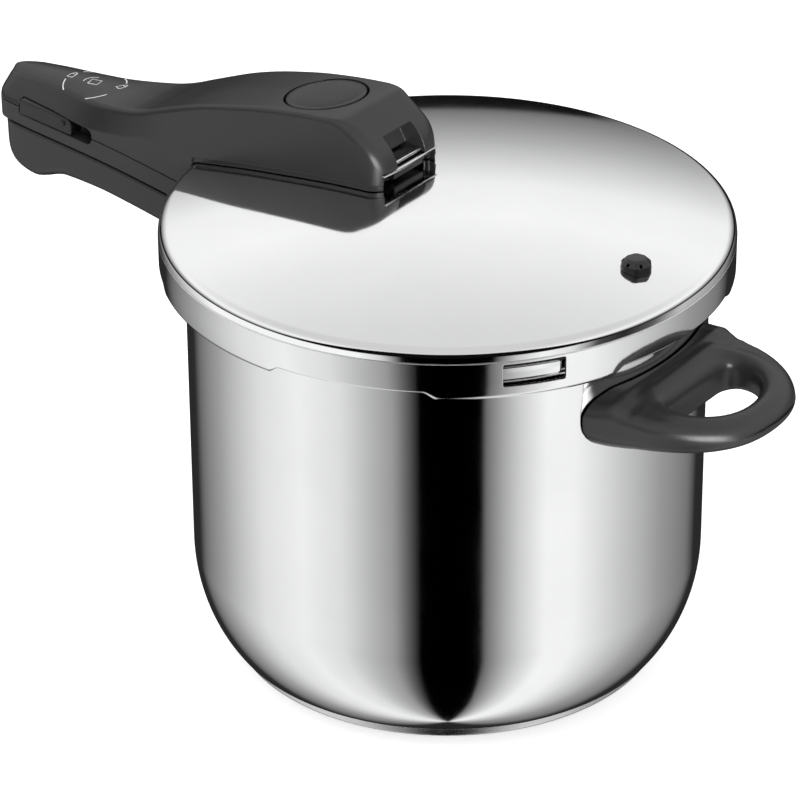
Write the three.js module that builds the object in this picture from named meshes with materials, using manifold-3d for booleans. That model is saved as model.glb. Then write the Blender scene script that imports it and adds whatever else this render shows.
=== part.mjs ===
// A stay-handle pressure cooker of about 6.5 litres: a deep stainless pot with a bayonet rim, a domed
// lid that turns and lifts off, a long two-part handle with a pressure indicator and an opening slider,
// and a loop-shaped side handle.
//
// Millimetres. The origin is the centre of the pot's underside, +Z is up, the long handle points to -X
// and the side handle to +X. The lid is closed, the slider is locked and there is no pressure.
//
// The heights below are counted from a datum 10.3 mm above the underside, and the finished cooker is
// raised by that much.

import * as THREE from "three";
import { mergeVertices } from "three/addons/utils/BufferGeometryUtils.js";
import Module from "manifold-3d";

const wasm = await Module();
wasm.setup();

// ---- Driving dimensions ----------------------------------------------------------------------

const SEGMENTS = 60; // round parts
const GAP = 0.4; // between pieces that touch
const DEG = Math.PI / 180;

const POT_R = 111.5; // outside of the straight wall
const WALL = 1.2; // sheet steel
const RIM_Z = 181; // top of the rim
const BASE_Z = -10.3; // underside
const POT_FLOOR_Z = BASE_Z + 5; // underside of the pot's own floor
const CORNER_WIDTH = 45; // the lower corner is part of an ellipse
const CORNER_HEIGHT = 60.5;
const CORNER_Z = 38;
const BASE_R = 95.2; // heat-spreading base

const LID_R = 122.4; // outside of the lid's skirt
const SHOULDER_R = 118; // where the dome meets the rounded shoulder
const SHOULDER_Z = 191;
const DOME_RISE = 12.5;
const SKIRT_Z = 171.9; // skirt's edge between the lobes
const LOBE_Z = 168.2; // skirt's edge at the lobes
const HOOK_R = 115.6; // how far the lobes turn in
const LOBES = [
  // centre angle and half-width of each bayonet lobe, in degrees
  [180, 18],
  [109.6, 20.3],
  [-109.6, 20.3],
  [38.4, 19],
  [-38.4, 19],
];
const LUG_R = 119.4;
const LUG_HALF = 12.5; // half-width of the pot's lugs, in degrees
const LUG_Z = 172.4; // lower edge of the lugs' turned-down lip
const WINDOW = { angle: -37.4, half: 6.2, low: 173.6, high: 183.8 };

const SEAM_SLOPE = 0.0928; // the long handle tilts up by 5.3 degrees towards its end
const SEAM_Z = 184.8; // seam of the two handle shells at SEAM_X
const SEAM_X = -200;
const LOWER_SHELL = 8.7; // height of the lower shell outside the rim
const HANDLE_GAP = 1.2; // between lid handle and pot handle
const SHELL_WALL = 2.4;

const INDICATOR_X = -63.7;
const INDICATOR_R = 17.5;
const INDICATOR_TILT = 8 * DEG; // the cap lies flush in a face that falls towards the grip
const INDICATOR_Z = 229.1;
const WELL_R = 18.4;
const WELL_FLOOR = 214.4;

const VALVE_X = 96.8;
const VALVE_Y = -1.8;
const VALVE_TOP = 200.2;

const SLOT_BACK = -23; // slider slot, along the handle from SEAM_X
const SLOT_FRONT = 20;
const SLOT_LOW = -3.6; // its floor and its roof, up from the seam
const SLOT_HIGH = 4.2;
const SLIDER_LENGTH = 30.4;

// Cross-sections of the lid handle: the height of its top, half its width along the upper crease and
// half its width at the seam, from the end of the grip to the front of the head.
const HANDLE_SECTIONS = [
  { x: -241, top: 192.6, crease: 2.5, base: 5 },
  { x: -239, top: 195, crease: 5, base: 11 },
  { x: -235, top: 197, crease: 7, base: 16 },
  { x: -228, top: 197.9, crease: 8.4, base: 18.8 },
  { x: -215, top: 198.6, crease: 9.8, base: 19.5 },
  { x: -193, top: 199.3, crease: 13, base: 19.7 },
  { x: -172, top: 200.3, crease: 16.4, base: 20.2 },
  { x: -160, top: 202.1, crease: 17.8, base: 20.9 },
  { x: -150, top: 204.9, crease: 18.8, base: 21.6 },
  { x: -140, top: 208.9, crease: 19.8, base: 22.4 },
  { x: -118, top: 217.2, crease: 21.8, base: 24.4 },
  { x: -98, top: 222.7, crease: 22.8, base: 25 },
  { x: -76, top: 227.4, crease: 22.8, base: 25.1 },
  { x: -53, top: 230.5, crease: 22.8, base: 24.3 },
  { x: -42.5, top: 231.1, crease: 22.4, base: 23.6 },
  { x: -38, top: 230.4, crease: 22.1, base: 23.4 },
  { x: -34, top: 228.9, crease: 21.7, base: 23.2 },
  { x: -30, top: 226.2, crease: 21.3, base: 23 },
  { x: -26, top: 222.8, crease: 20.9, base: 22.8 },
  { x: -23, top: 219.7, crease: 20.4, base: 22.5 },
  { x: -20.6, top: 216.4, crease: 19.8, base: 21.6 },
  { x: -19.2, top: 213.2, crease: 18.4, base: 20 },
  { x: -18.6, top: 210.4, crease: 17, base: 18.2 },
];

// Underside of the pot handle along the grip.
const POT_HANDLE_SECTIONS = [
  { x: -235.4, bottom: 168.5 },
  { x: -233.6, bottom: 162.8 },
  { x: -230.4, bottom: 158.2 },
  { x: -224, bottom: 154.2 },
  { x: -217, bottom: 152.6 },
  { x: -211, bottom: 154.1 },
  { x: -205, bottom: 156.3 },
  { x: -199, bottom: 157.5 },
  { x: -184, bottom: 157 },
  { x: -160, bottom: 154.6 },
  { x: -135, bottom: 151.6 },
  { x: -105, bottom: 147.6 },
];

const SIDE_HANDLE_TIP = 167;
const SIDE_HANDLE_HALF = 47;
const HOLE_FRONT = 152; // finger hole
const HOLE_BACK = 126.5;
const HOLE_HALF = 24;

// ---- Materials -------------------------------------------------------------------------------

const paint = (color, roughness, metalness) =>
  new THREE.MeshStandardMaterial({ color, roughness, metalness });

const polished = paint(0xd8d9da, 0.08, 1);
const brushed = paint(0xb4b6b8, 0.35, 1);
const aluminium = paint(0xc3c5c8, 0.5, 1);
const plastic = paint(0x343434, 0.5, 0);
const darkPlastic = paint(0x262626, 0.55, 0);
const silicone = paint(0x8f9294, 0.7, 0);
const springSteel = paint(0xa9abae, 0.3, 1);
const ringLow = paint(0xe2a21b, 0.55, 0);
const ringHigh = paint(0xc8472b, 0.55, 0);

// ---- Solids ----------------------------------------------------------------------------------

// A closed three.js geometry as a solid that can be joined and cut.
function solid(geometry) {
  const flat = geometry.index ? geometry.toNonIndexed() : geometry;
  const bare = new THREE.BufferGeometry();
  bare.setAttribute("position", flat.getAttribute("position"));
  const merged = mergeVertices(bare, 1e-4);
  return new wasm.Manifold(
    new wasm.Mesh({
      numProp: 3,
      vertProperties: merged.attributes.position.array,
      triVerts: new Uint32Array(merged.index.array),
    }),
  );
}

function geometryOf(body) {
  const mesh = body.getMesh();
  const geometry = new THREE.BufferGeometry();
  geometry.setAttribute("position", new THREE.BufferAttribute(mesh.vertProperties, 3));
  geometry.setIndex(new THREE.BufferAttribute(mesh.triVerts, 1));
  geometry.computeVertexNormals();
  return geometry;
}

const points = (pairs) => pairs.map(([a, b]) => new THREE.Vector2(a, b));

// Points of an elliptical arc in the radius-height plane, angles in degrees from +R towards +Z.
function arc(r, z, radiusR, radiusZ, from, to, steps) {
  return Array.from({ length: steps + 1 }, (_, i) => {
    const angle = (from + ((to - from) * i) / steps) * DEG;
    return [r + radiusR * Math.cos(angle), z + radiusZ * Math.sin(angle)];
  });
}

// A profile of [radius, height] pairs, outside upwards, turned about Z.
function turned(profile, segments = SEGMENTS) {
  const geometry = new THREE.LatheGeometry(points(profile), segments);
  return solid(geometry.rotateX(Math.PI / 2));
}

// A closed ring profile: the first point is repeated at the end.
const turnedRing = (profile, segments) => turned([...profile, profile[0]], segments);

function disc(radius, low, high, x = 0, y = 0, segments = 24) {
  const geometry = new THREE.CylinderGeometry(radius, radius, high - low, segments);
  return solid(geometry.rotateX(Math.PI / 2).translate(x, y, (low + high) / 2));
}

function box(low, high) {
  const size = high.map((value, i) => value - low[i]);
  const geometry = new THREE.BoxGeometry(...size);
  return solid(geometry.translate(...low.map((value, i) => value + size[i] / 2)));
}

// A shape in the XZ plane, from -half to +half across the handle.
function slab(outline, half) {
  const geometry = new THREE.ExtrudeGeometry(new THREE.Shape(points(outline)), {
    depth: 2 * half,
    bevelEnabled: false,
  });
  return solid(geometry.rotateX(Math.PI / 2).translate(0, half, 0));
}

// Part of a ring between two radii, two angles in degrees and two heights.
function ringSector(inner, outer, centre, half, low, high) {
  const shape = new THREE.Shape();
  shape.absarc(0, 0, outer, (centre - half) * DEG, (centre + half) * DEG, false);
  shape.absarc(0, 0, inner, (centre + half) * DEG, (centre - half) * DEG, true);
  const geometry = new THREE.ExtrudeGeometry(shape, {
    depth: high - low,
    bevelEnabled: false,
    curveSegments: Math.max(2, Math.round(half / 2.5)),
  });
  return solid(geometry.translate(0, 0, low));
}

// A closed body through rings of equally many points, with flat ends.
function loft(rings) {
  const count = rings[0].length;
  const faces = [];
  for (let i = 0; i + 1 < rings.length; i++) {
    for (let j = 0; j < count; j++) {
      const k = (j + 1) % count;
      faces.push(rings[i][j], rings[i + 1][k], rings[i + 1][j]);
      faces.push(rings[i][j], rings[i][k], rings[i + 1][k]);
    }
  }
  const last = rings[rings.length - 1];
  for (let j = 1; j + 1 < count; j++) {
    faces.push(rings[0][0], rings[0][j + 1], rings[0][j]);
    faces.push(last[0], last[j], last[j + 1]);
  }
  const geometry = new THREE.BufferGeometry();
  geometry.setAttribute(
    "position",
    new THREE.Float32BufferAttribute(faces.flatMap((p) => p.toArray()), 3),
  );
  return solid(geometry);
}

// A coil along Z from low to high, closed at its ends.
function coil(radius, wire, low, high, turns) {
  class Helix extends THREE.Curve {
    getPoint(t) {
      const angle = t * turns * 2 * Math.PI;
      return new THREE.Vector3(
        radius * Math.cos(angle),
        radius * Math.sin(angle),
        low + wire + (high - low - 2 * wire) * t,
      );
    }
  }
  const section = new THREE.Shape().absarc(0, 0, wire, 0, 2 * Math.PI);
  return new THREE.ExtrudeGeometry(section, {
    extrudePath: new Helix(),
    steps: turns * 9,
    curveSegments: 2,
    bevelEnabled: false,
  });
}

// ---- Shared shapes ---------------------------------------------------------------------------

const domeHeight = (r) => SHOULDER_Z + DOME_RISE * (1 - (r / SHOULDER_R) ** 2);

// The dome from its edge to its centre.
function domeCurve(raise, steps = 5) {
  return Array.from({ length: steps + 1 }, (_, i) => {
    const r = SHOULDER_R * Math.sqrt(1 - i / steps);
    return [r, domeHeight(r) + raise];
  });
}

// Everything that the closed lid fills, grown by a clearance.
function lidSpace(clearance) {
  return turned([
    [0, 150],
    [LID_R + clearance, 150],
    ...arc(SHOULDER_R, SHOULDER_Z - 4, LID_R - SHOULDER_R + clearance, 4 + clearance, 0, 90, 4),
    ...domeCurve(clearance).slice(1),
  ]);
}

const seamHeight = (x) => SEAM_Z + SEAM_SLOPE * (SEAM_X - x);

// Value of one column of a section list at a place along the handle.
function along(sections, key, x) {
  const i = Math.max(1, sections.findIndex((s) => s.x >= x));
  const a = sections[i - 1];
  const b = sections[i];
  const t = (x - a.x) / (b.x - a.x);
  return a[key] + (b[key] - a[key]) * t;
}

// A body in the grip's own frame: u along the handle towards the pot, y across, v up from the seam.
function onGrip(body) {
  const tilt = new THREE.Matrix4()
    .makeTranslation(SEAM_X, 0, SEAM_Z)
    .multiply(new THREE.Matrix4().makeRotationY(Math.atan(SEAM_SLOPE)));
  return body.transform(tilt.elements);
}

// The lid handle's outer form, drawn in by a wall thickness.
function handleForm(inset, sections = HANDLE_SECTIONS) {
  const rings = sections.map(({ x, top, crease, base }) => {
    const low = 150 - inset;
    const seam = Math.max(seamHeight(x), Math.min(top - 14, domeHeight(Math.min(-x, SHOULDER_R))));
    const b = base - inset;
    const c = crease - inset * 0.6;
    const t = top - inset;
    return [
      [b, low],
      [b, seam + 2],
      [c + 0.8, t - 2.2],
      [Math.max(c - 2.4, 0.8), t],
      [-Math.max(c - 2.4, 0.8), t],
      [-c - 0.8, t - 2.2],
      [-b, seam + 2],
      [-b, low],
    ].map(([y, z]) => new THREE.Vector3(x, y, z));
  });
  return loft(rings);
}

// The hollow inside the handle, which ends in front of the indicator and short of the grip's end.
function handleHollow(inset) {
  const inner = HANDLE_SECTIONS.filter((s) => s.x > -236 && s.x < -45);
  const front = { ...inner[inner.length - 1], x: -44 };
  return handleForm(inset, [...inner, front]);
}

// Space above or below the seam of the two shells.
const aboveSeam = (raise) =>
  slab(
    [
      [-250, seamHeight(-250) + raise],
      [-10, seamHeight(-10) + raise],
      [-10, 260],
      [-250, 260],
    ],
    60,
  );

const belowHandle = (drop, xEnd = -100) =>
  slab(
    [
      [-260, 100],
      [xEnd, 100],
      [xEnd, seamHeight(xEnd) - drop],
      [-260, seamHeight(-260) - drop],
    ],
    60,
  );

// ---- Pot -------------------------------------------------------------------------------------

function potBody() {
  const outerCorner = arc(
    POT_R - CORNER_WIDTH,
    CORNER_Z,
    CORNER_WIDTH,
    CORNER_HEIGHT,
    -44.5,
    0,
    6,
  );
  const innerCorner = outerCorner
    .map(([r, z]) => [r - WALL, z + (z < POT_FLOOR_Z + 20 ? WALL : WALL / 2)])
    .reverse();
  const shell = turned([
    [0, POT_FLOOR_Z],
    [BASE_R + 0.3, POT_FLOOR_Z],
    ...outerCorner,
    [POT_R, RIM_Z - 2.2],
    [POT_R + 2.6, RIM_Z - 2.2],
    [POT_R + 2.6, RIM_Z - 0.5],
    [POT_R + 2.1, RIM_Z],
    [POT_R - WALL, RIM_Z],
    ...innerCorner,
    [BASE_R - 0.6, POT_FLOOR_Z + WALL],
    [0, POT_FLOOR_Z + WALL],
  ]);
  const lugs = LOBES.map(([angle]) =>
    ringSector(POT_R + 1, LUG_R, angle, LUG_HALF, RIM_Z - 2, RIM_Z - 0.2).add(
      ringSector(LUG_R - 1.5, LUG_R, angle, LUG_HALF, LUG_Z, RIM_Z - 0.2),
    ),
  );
  return lugs.reduce((pot, lug) => pot.add(lug), shell);
}

function baseCapsule() {
  return turned([
    [0, BASE_Z],
    [BASE_R - 1.2, BASE_Z],
    [BASE_R, BASE_Z + 1.2],
    [BASE_R, POT_FLOOR_Z - 0.3],
    [BASE_R - 0.9, POT_FLOOR_Z - 0.3],
    [BASE_R - 0.9, BASE_Z + 1.6],
    [BASE_R - 1.6, BASE_Z + 0.9],
    [0, BASE_Z + 0.9],
  ]);
}

const baseCore = () => disc(BASE_R - 1.9, BASE_Z + 1.3, POT_FLOOR_Z - 0.4, 0, 0, SEGMENTS);

// A steel bracket on the wall at 0 or 180 degrees, with a tongue that reaches into the handle.
function wallBracket(side, tongueEnd, low, high, halfAngle, grow = 0) {
  const plate = ringSector(
    POT_R + GAP - grow,
    POT_R + GAP + 1.6 + grow,
    side > 0 ? 0 : 180,
    halfAngle + grow,
    low - grow,
    high + grow,
  );
  const mid = (low + high) / 2;
  const near = side * (POT_R + 1);
  const far = side * (tongueEnd + grow);
  const tongue = box(
    [Math.min(near, far), -7 - grow, mid - 1.5 - grow],
    [Math.max(near, far), 7 + grow, mid + 1.5 + grow],
  );
  return plate.add(tongue);
}

// A pan-head screw that points up from below.
function screw(x, y, head, top, radius = 2, grow = 0) {
  const headBottom = grow ? head - 12 : head;
  return disc(radius * 1.9 + grow, headBottom, head + 2.4 + grow, x, y, 16).add(
    disc(radius + grow, head + 2, top + grow, x, y, 16),
  );
}

const POT_BRACKET = [-1, 142, 152, 164, 9];
const POT_SCREW = [-130, 0, 151.3, 156];
const SIDE_BRACKET = [1, 121, 139, 151, 8];
const SIDE_SCREW = [118.6, 0, 137.5, 143];

function potHandle() {
  const rings = POT_HANDLE_SECTIONS.map(({ x, bottom }) => {
    const half = along(HANDLE_SECTIONS, "base", Math.min(x, -118));
    const top = seamHeight(x);
    const side = Math.min(bottom + 7, seamHeight(x) - LOWER_SHELL - 3);
    return [
      [half - 6, bottom],
      [half - 1.6, bottom + (side - bottom) * 0.4],
      [half, side],
      [half, top],
      [-half, top],
      [-half, side],
      [-half + 1.6, bottom + (side - bottom) * 0.4],
      [-half + 6, bottom],
    ].map(([y, z]) => new THREE.Vector3(x, y, z));
  });
  const catchPocket = box([-134, -40, 164], [-126, -13, 175]);
  return loft(rings)
    .intersect(belowHandle(LOWER_SHELL + HANDLE_GAP))
    .subtract(disc(POT_R + 0.7, 100, 165.6, 0, 0, SEGMENTS * 2))
    .subtract(disc(LID_R + 1.6, 165.5, 200, 0, 0, SEGMENTS * 2))
    .subtract(catchPocket)
    .subtract(wallBracket(...POT_BRACKET, GAP))
    .subtract(screw(...POT_SCREW, 2, GAP));
}

// The side handle's plan: a loop whose ends spread along the wall.
function sideHandle() {
  const plan = new THREE.Shape();
  plan.moveTo(100, -SIDE_HANDLE_HALF);
  plan.lineTo(116, -SIDE_HANDLE_HALF);
  plan.quadraticCurveTo(122, -44.5, 131, -42.5);
  plan.bezierCurveTo(150, -38, SIDE_HANDLE_TIP, -24, SIDE_HANDLE_TIP, 0);
  plan.bezierCurveTo(SIDE_HANDLE_TIP, 24, 150, 38, 131, 42.5);
  plan.quadraticCurveTo(122, 44.5, 116, SIDE_HANDLE_HALF);
  plan.lineTo(100, SIDE_HANDLE_HALF);
  const hole = new THREE.Path();
  hole.moveTo(HOLE_BACK, -HOLE_HALF + 6);
  hole.quadraticCurveTo(HOLE_BACK, -HOLE_HALF, HOLE_BACK + 6, -HOLE_HALF);
  hole.bezierCurveTo(144, -HOLE_HALF, HOLE_FRONT, -14, HOLE_FRONT, 0);
  hole.bezierCurveTo(HOLE_FRONT, 14, 144, HOLE_HALF, HOLE_BACK + 6, HOLE_HALF);
  hole.quadraticCurveTo(HOLE_BACK, HOLE_HALF, HOLE_BACK, HOLE_HALF - 6);
  plan.holes.push(hole);
  const loop = new THREE.ExtrudeGeometry(plan, { depth: 30, bevelEnabled: false, curveSegments: 7 });
  const side = [
    [100, 133.5],
    [117, 133.5],
    [124, 136],
    [134, 138.4],
    [152, 139],
    [162, 140.2],
    [166, 142.5],
    [SIDE_HANDLE_TIP, 145],
    [165.6, 148],
    [160, 150],
    [148, 150.6],
    [134, 151.2],
    [126, 152.6],
    [119, 155.4],
    [113, 156.6],
    [100, 156.6],
  ];
  return solid(loop.translate(0, 0, 130))
    .intersect(slab(side, 60))
    .subtract(disc(POT_R + 0.7, 120, 170, 0, 0, SEGMENTS * 2))
    .subtract(wallBracket(...SIDE_BRACKET, GAP))
    .subtract(screw(...SIDE_SCREW, 1.8, GAP));
}

// ---- Lid -------------------------------------------------------------------------------------

function sealingRing() {
  return turnedRing([
    [111.4, RIM_Z + 0.4],
    [118.6, RIM_Z + 0.4],
    [119.6, RIM_Z + 2],
    [119.6, RIM_Z + 6],
    [117, RIM_Z + 7.6],
    [112, RIM_Z + 8.4],
    [110.8, RIM_Z + 7.4],
    [110.8, RIM_Z + 1.6],
  ]);
}

function lidShell() {
  const inner = SHOULDER_R - 0.4;
  const full = turnedRing([
    [HOOK_R, LOBE_Z],
    [LID_R - 1.6, LOBE_Z],
    [LID_R, LOBE_Z + 1.8],
    ...arc(SHOULDER_R, SHOULDER_Z - 4, LID_R - SHOULDER_R, 4, 0, 90, 4),
    ...domeCurve(0).slice(1),
    ...domeCurve(-WALL).reverse().slice(0, -1),
    ...arc(inner, SHOULDER_Z - 4, LID_R - WALL - inner, 4 - WALL, 90, 0, 3),
    [LID_R - WALL, LOBE_Z + 2.4],
    [LID_R - 2.2, LOBE_Z + WALL],
    [HOOK_R, LOBE_Z + WALL],
  ]);
  const gaps = LOBES.map(([angle, half]) => [angle + 360, half])
    .sort((a, b) => a[0] - b[0])
    .map(([angle, half], i, sorted) => {
      const [next, nextHalf] = sorted[(i + 1) % sorted.length];
      const from = angle + half;
      const to = next - nextHalf + (i + 1 === sorted.length ? 360 : 0);
      return ringSector(100, 130, (from + to) / 2, (to - from) / 2, 160, SKIRT_Z);
    });
  const view = ringSector(119, 130, WINDOW.angle, WINDOW.half, WINDOW.low, WINDOW.high);
  const cut = [
    ...gaps,
    view,
    disc(7.5, 180, 215, INDICATOR_X, 0),
    disc(4.3, 180, 205, VALVE_X, VALVE_Y),
  ];
  return cut.reduce((lid, piece) => lid.subtract(piece), full);
}

// A sheet that lies on the dome, from one height above it to another.
function domeSheet(low, high) {
  return turned([
    [0, domeHeight(0) + low],
    ...domeCurve(low).reverse().slice(1),
    ...domeCurve(high),
  ]);
}

// A portal of sheet steel across the front of the head: two legs, a bar above and a sill below.
function frontBracket() {
  const wall = box([-20.8, -18.7, 200], [-19.4, 18.7, 211]).subtract(lidSpace(0.3));
  const opening = box([-30, -17.2, 203.6], [-10, 17.2, 209.8]);
  const foot = domeSheet(0.3, 1.7).intersect(box([-42, -12, 190], [-19.9, 12, 215]));
  return wall.subtract(opening).add(foot);
}

const frontHook = () => box([-44, -10.3, 204.9], [-20.3, 10.3, 208.8]);

const frontHookPlate = () => box([-40, -9.4, 211.4], [-21.4, 9.4, 212.6]);

const SHELL_SCREWS = [
  { name: "handle_screw_rear", x: -230.5, y: 0, head: 179.4, top: 192 },
  { name: "handle_screw_left", x: -136, y: 12.6, head: 171.6, top: 190 },
  { name: "handle_screw_right", x: -136, y: -12.6, head: 171.6, top: 190 },
];

const shellScrew = ({ x, y, head, top }, grow = 0) => screw(x, y, head, top, 1.7, grow);

// Recess in the rounded front of the head, with its floor 4 mm below the face.
function headRecess() {
  return slab(
    [
      [-32.5, 219],
      [-27.5, 211.2],
      [-10, 211.2],
      [-10, 236],
      [-28.6, 221.4],
    ],
    9.8,
  );
}

function upperShell() {
  const outer = handleForm(0);
  const bosses = SHELL_SCREWS.map(({ x, y }) => disc(3.8, 150, 240, x, y, 16));
  const wellWall = disc(WELL_R + 1.6, WELL_FLOOR, 240, INDICATOR_X, 0, 36);
  const added = bosses.reduce((all, boss) => all.add(boss), wellWall).intersect(outer);
  const slot = onGrip(box([SLOT_BACK, -40, -20], [SLOT_FRONT, 40, SLOT_HIGH]));
  const mouth = box([-46, -17.6, 190], [-10, 17.6, 211.3])
    .add(box([-21.2, -19.1, 190], [-10, 19.1, 211.3]))
    .add(box([-41, -9.8, 211], [-10, 9.8, 213]));
  const cut = [
    disc(WELL_R, WELL_FLOOR + 1.4, 240, INDICATOR_X, 0, 36),
    disc(4, 190, 240, INDICATOR_X, 0, 16),
    slot,
    mouth,
    headRecess(),
    lidSpace(GAP),
    ...SHELL_SCREWS.map((at) => shellScrew(at, 0.3)),
  ];
  const shell = outer.subtract(handleHollow(SHELL_WALL)).add(added);
  return cut.reduce((body, piece) => body.subtract(piece), shell).intersect(aboveSeam(0.25));
}

const CORE_HALF = 11.8;

// The lower shell: the grip's floor, a core between the two slots, a riser over the lid's rim and a
// plate that lies on the lid inside the head.
function lowerShell() {
  const floor = handleForm(0)
    .subtract(aboveSeam(-0.25))
    .subtract(belowHandle(LOWER_SHELL))
    .subtract(box([-124.6, -40, 140], [0, 40, 240]));
  const inside = handleHollow(SHELL_WALL + GAP).subtract(
    belowHandle(LOWER_SHELL),
  );
  const core = onGrip(box([-24, -CORE_HALF, -6], [31, CORE_HALF, 1.4]));
  const riser = inside.intersect(box([-131, -16, 150], [-124.6, 16, 195.2]));
  const plate = domeSheet(0.5, 3.2)
    .add(turned([[0, 185], [LID_R + 1, 185], [LID_R + 1, 194.6], [0, 194.6]]).subtract(lidSpace(0.5)))
    .add(box([-131, -30, 191.8], [-118, 30, 194.6]).subtract(lidSpace(0.5)))
    .intersect(inside)
    .intersect(box([-131, -17, 150], [-47, 17, 240]));
  const slots = [-1, 1].map((side) => {
    const near = side * (CORE_HALF + 0.1);
    const far = side * 40;
    return onGrip(
      box(
        [SLOT_BACK, Math.min(near, far), SLOT_LOW],
        [SLOT_FRONT, Math.max(near, far), 20],
      ),
    );
  });
  const springChannel = onGrip(box([-23.5, -3.2, -3.4], [30, 3.2, 10]));
  const cut = [
    ...slots,
    springChannel,
    disc(11.4, 180, 230, INDICATOR_X, 0),
    disc(LID_R + 0.9, 150, 190, 0, 0, SEGMENTS),
    ...SHELL_SCREWS.map((at) => shellScrew(at, 0.3)),
    ...SHELL_SCREWS.slice(1).map(({ x, y }) => disc(4.1, seamHeight(x) - 0.3, 240, x, y, 16)),
  ];
  const body = floor.add(core).add(riser).add(plate);
  return cut.reduce((shell, piece) => shell.subtract(piece), body);
}

const handleGasket = () =>
  turnedRing(
    [
      [7.2, 201.6],
      [11, 201.6],
      [11, 204],
      [10, 206],
      [7.2, 206],
    ],
    24,
  ).translate([INDICATOR_X, 0, 0]);

// ---- Safety valve ----------------------------------------------------------------------------

function valveCap() {
  const plug = new THREE.LatheGeometry(
    points([
      [0, 192],
      [6.6, 192],
      [6.6, VALVE_TOP - 2.9],
      [5.6, VALVE_TOP - 1.4],
      [3.6, VALVE_TOP],
      [0, VALVE_TOP],
    ]),
    12,
  );
  const vents = [0, 60, 120].map((angle) =>
    disc(0.6, -8, 8, 0, 0, 8)
      .rotate([90, 0, angle])
      .translate([0, 0, VALVE_TOP - 2]),
  );
  const body = solid(plug.rotateX(Math.PI / 2))
    .subtract(disc(4.2, 190, VALVE_TOP - 1.4, 0, 0, 16))
    .subtract(lidSpace(0.3).translate([-VALVE_X, -VALVE_Y, 0]));
  return vents.reduce((cap, vent) => cap.subtract(vent), body);
}

const valveBody = () =>
  turnedRing(
    [
      [2.5, 185.2],
      [3.8, 185.2],
      [3.8, VALVE_TOP - 1.8],
      [1, VALVE_TOP - 1.8],
      [1, 196],
      [2.5, 194.5],
    ],
    16,
  );

const valveNut = () => disc(6.4, 186.4, 190.6, 0, 0, 6).subtract(disc(4.2, 180, 200, 0, 0, 16));

const valveBall = () => new THREE.SphereGeometry(2.1, 12, 8).rotateX(Math.PI / 2).translate(0, 0, 191);

// ---- Pressure indicator ----------------------------------------------------------------------

// A disc between two planes that tilt as the cap does, heights measured on its axis.
function tiltedDisc(radius, low, high) {
  const cover = (z) => {
    const plane = new THREE.BoxGeometry(80, 80, 40).translate(0, 0, 20);
    return solid(plane.rotateY(-INDICATOR_TILT).translate(0, 0, z));
  };
  return disc(radius, 200, 245, 0, 0, 36).intersect(cover(low)).subtract(cover(high));
}

const indicatorCap = () => tiltedDisc(INDICATOR_R, INDICATOR_Z - 3.2, INDICATOR_Z);

const indicatorRingHigh = () => tiltedDisc(16.4, INDICATOR_Z - 6.6, INDICATOR_Z - 3.5);

const indicatorRingLow = () => tiltedDisc(16.4, INDICATOR_Z - 10, INDICATOR_Z - 6.9);

function indicatorStem() {
  return turned(
    [
      [0, 189],
      [2.4, 189],
      [3.2, 192],
      [3.2, 199],
      [5.6, 199],
      [5.6, 200.2],
      [3.2, 200.2],
      [3.2, 218.6],
      [0, 218.6],
    ],
    16,
  );
}

// ---- Opening slider --------------------------------------------------------------------------

// Two grips, one in each side slot, joined by a bridge over the core, with a lug on the spring.
function sliderBlock() {
  const back = SLOT_BACK + 0.5;
  const front = back + SLIDER_LENGTH;
  const side = CORE_HALF + 0.5;
  const low = SLOT_LOW + 0.5;
  const high = SLOT_HIGH - 0.5;
  const grips = [-1, 1].map((way) => {
    const near = way * side;
    const far = way * 19.3;
    return box([back, Math.min(near, far), low], [front, Math.max(near, far), high]);
  });
  const bridge = box([back, -side - 1, 1.8], [front, side + 1, high]);
  const lug = box([front - 3, -2.6, -2.6], [front, 2.6, 2.4]);
  return onGrip(grips[0].add(grips[1]).add(bridge).add(lug));
}

// A flat bar from the slider over the lid's rim to the indicator.
function lockingBar() {
  const centre = [
    [-218, seamHeight(-218) + 5.6],
    [-166, seamHeight(-166) + 5.6],
    [-142, 200.4],
    [-90, 205.4],
  ];
  const outline = [
    ...centre.map(([x, z]) => [x, z - 1.2]),
    ...centre.map(([x, z]) => [x, z + 1.2]).reverse(),
  ];
  return slab(outline, 6);
}

function sliderSpring() {
  const start = SLOT_BACK + 0.5 + SLIDER_LENGTH;
  const geometry = coil(2.3, 0.35, start + 0.4, 29.6, 7);
  return onGrip(solid(geometry.rotateY(Math.PI / 2)).translate([0, 0, -0.3]));
}

// ---- Assembly --------------------------------------------------------------------------------

function piece(name, shape, material) {
  const geometry = shape.isBufferGeometry ? shape : geometryOf(shape);
  const mesh = new THREE.Mesh(geometry, material);
  mesh.name = name;
  return mesh;
}

function at(x, y, ...meshes) {
  const group = new THREE.Group();
  group.position.set(x, y, 0);
  group.add(...meshes);
  return group;
}

const pot = new THREE.Group().add(
  piece("pot_body", potBody(), polished),
  piece("base_core_disc", baseCore(), aluminium),
  piece("base_capsule", baseCapsule(), brushed),
  piece("pot_handle", potHandle(), plastic),
  piece("pot_handle_bracket", wallBracket(...POT_BRACKET), brushed),
  piece("pot_handle_screw", screw(...POT_SCREW), brushed),
  piece("side_handle", sideHandle(), plastic),
  piece("side_handle_bracket", wallBracket(...SIDE_BRACKET), brushed),
  piece("side_handle_screw", screw(...SIDE_SCREW, 1.8), brushed),
);

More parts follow.
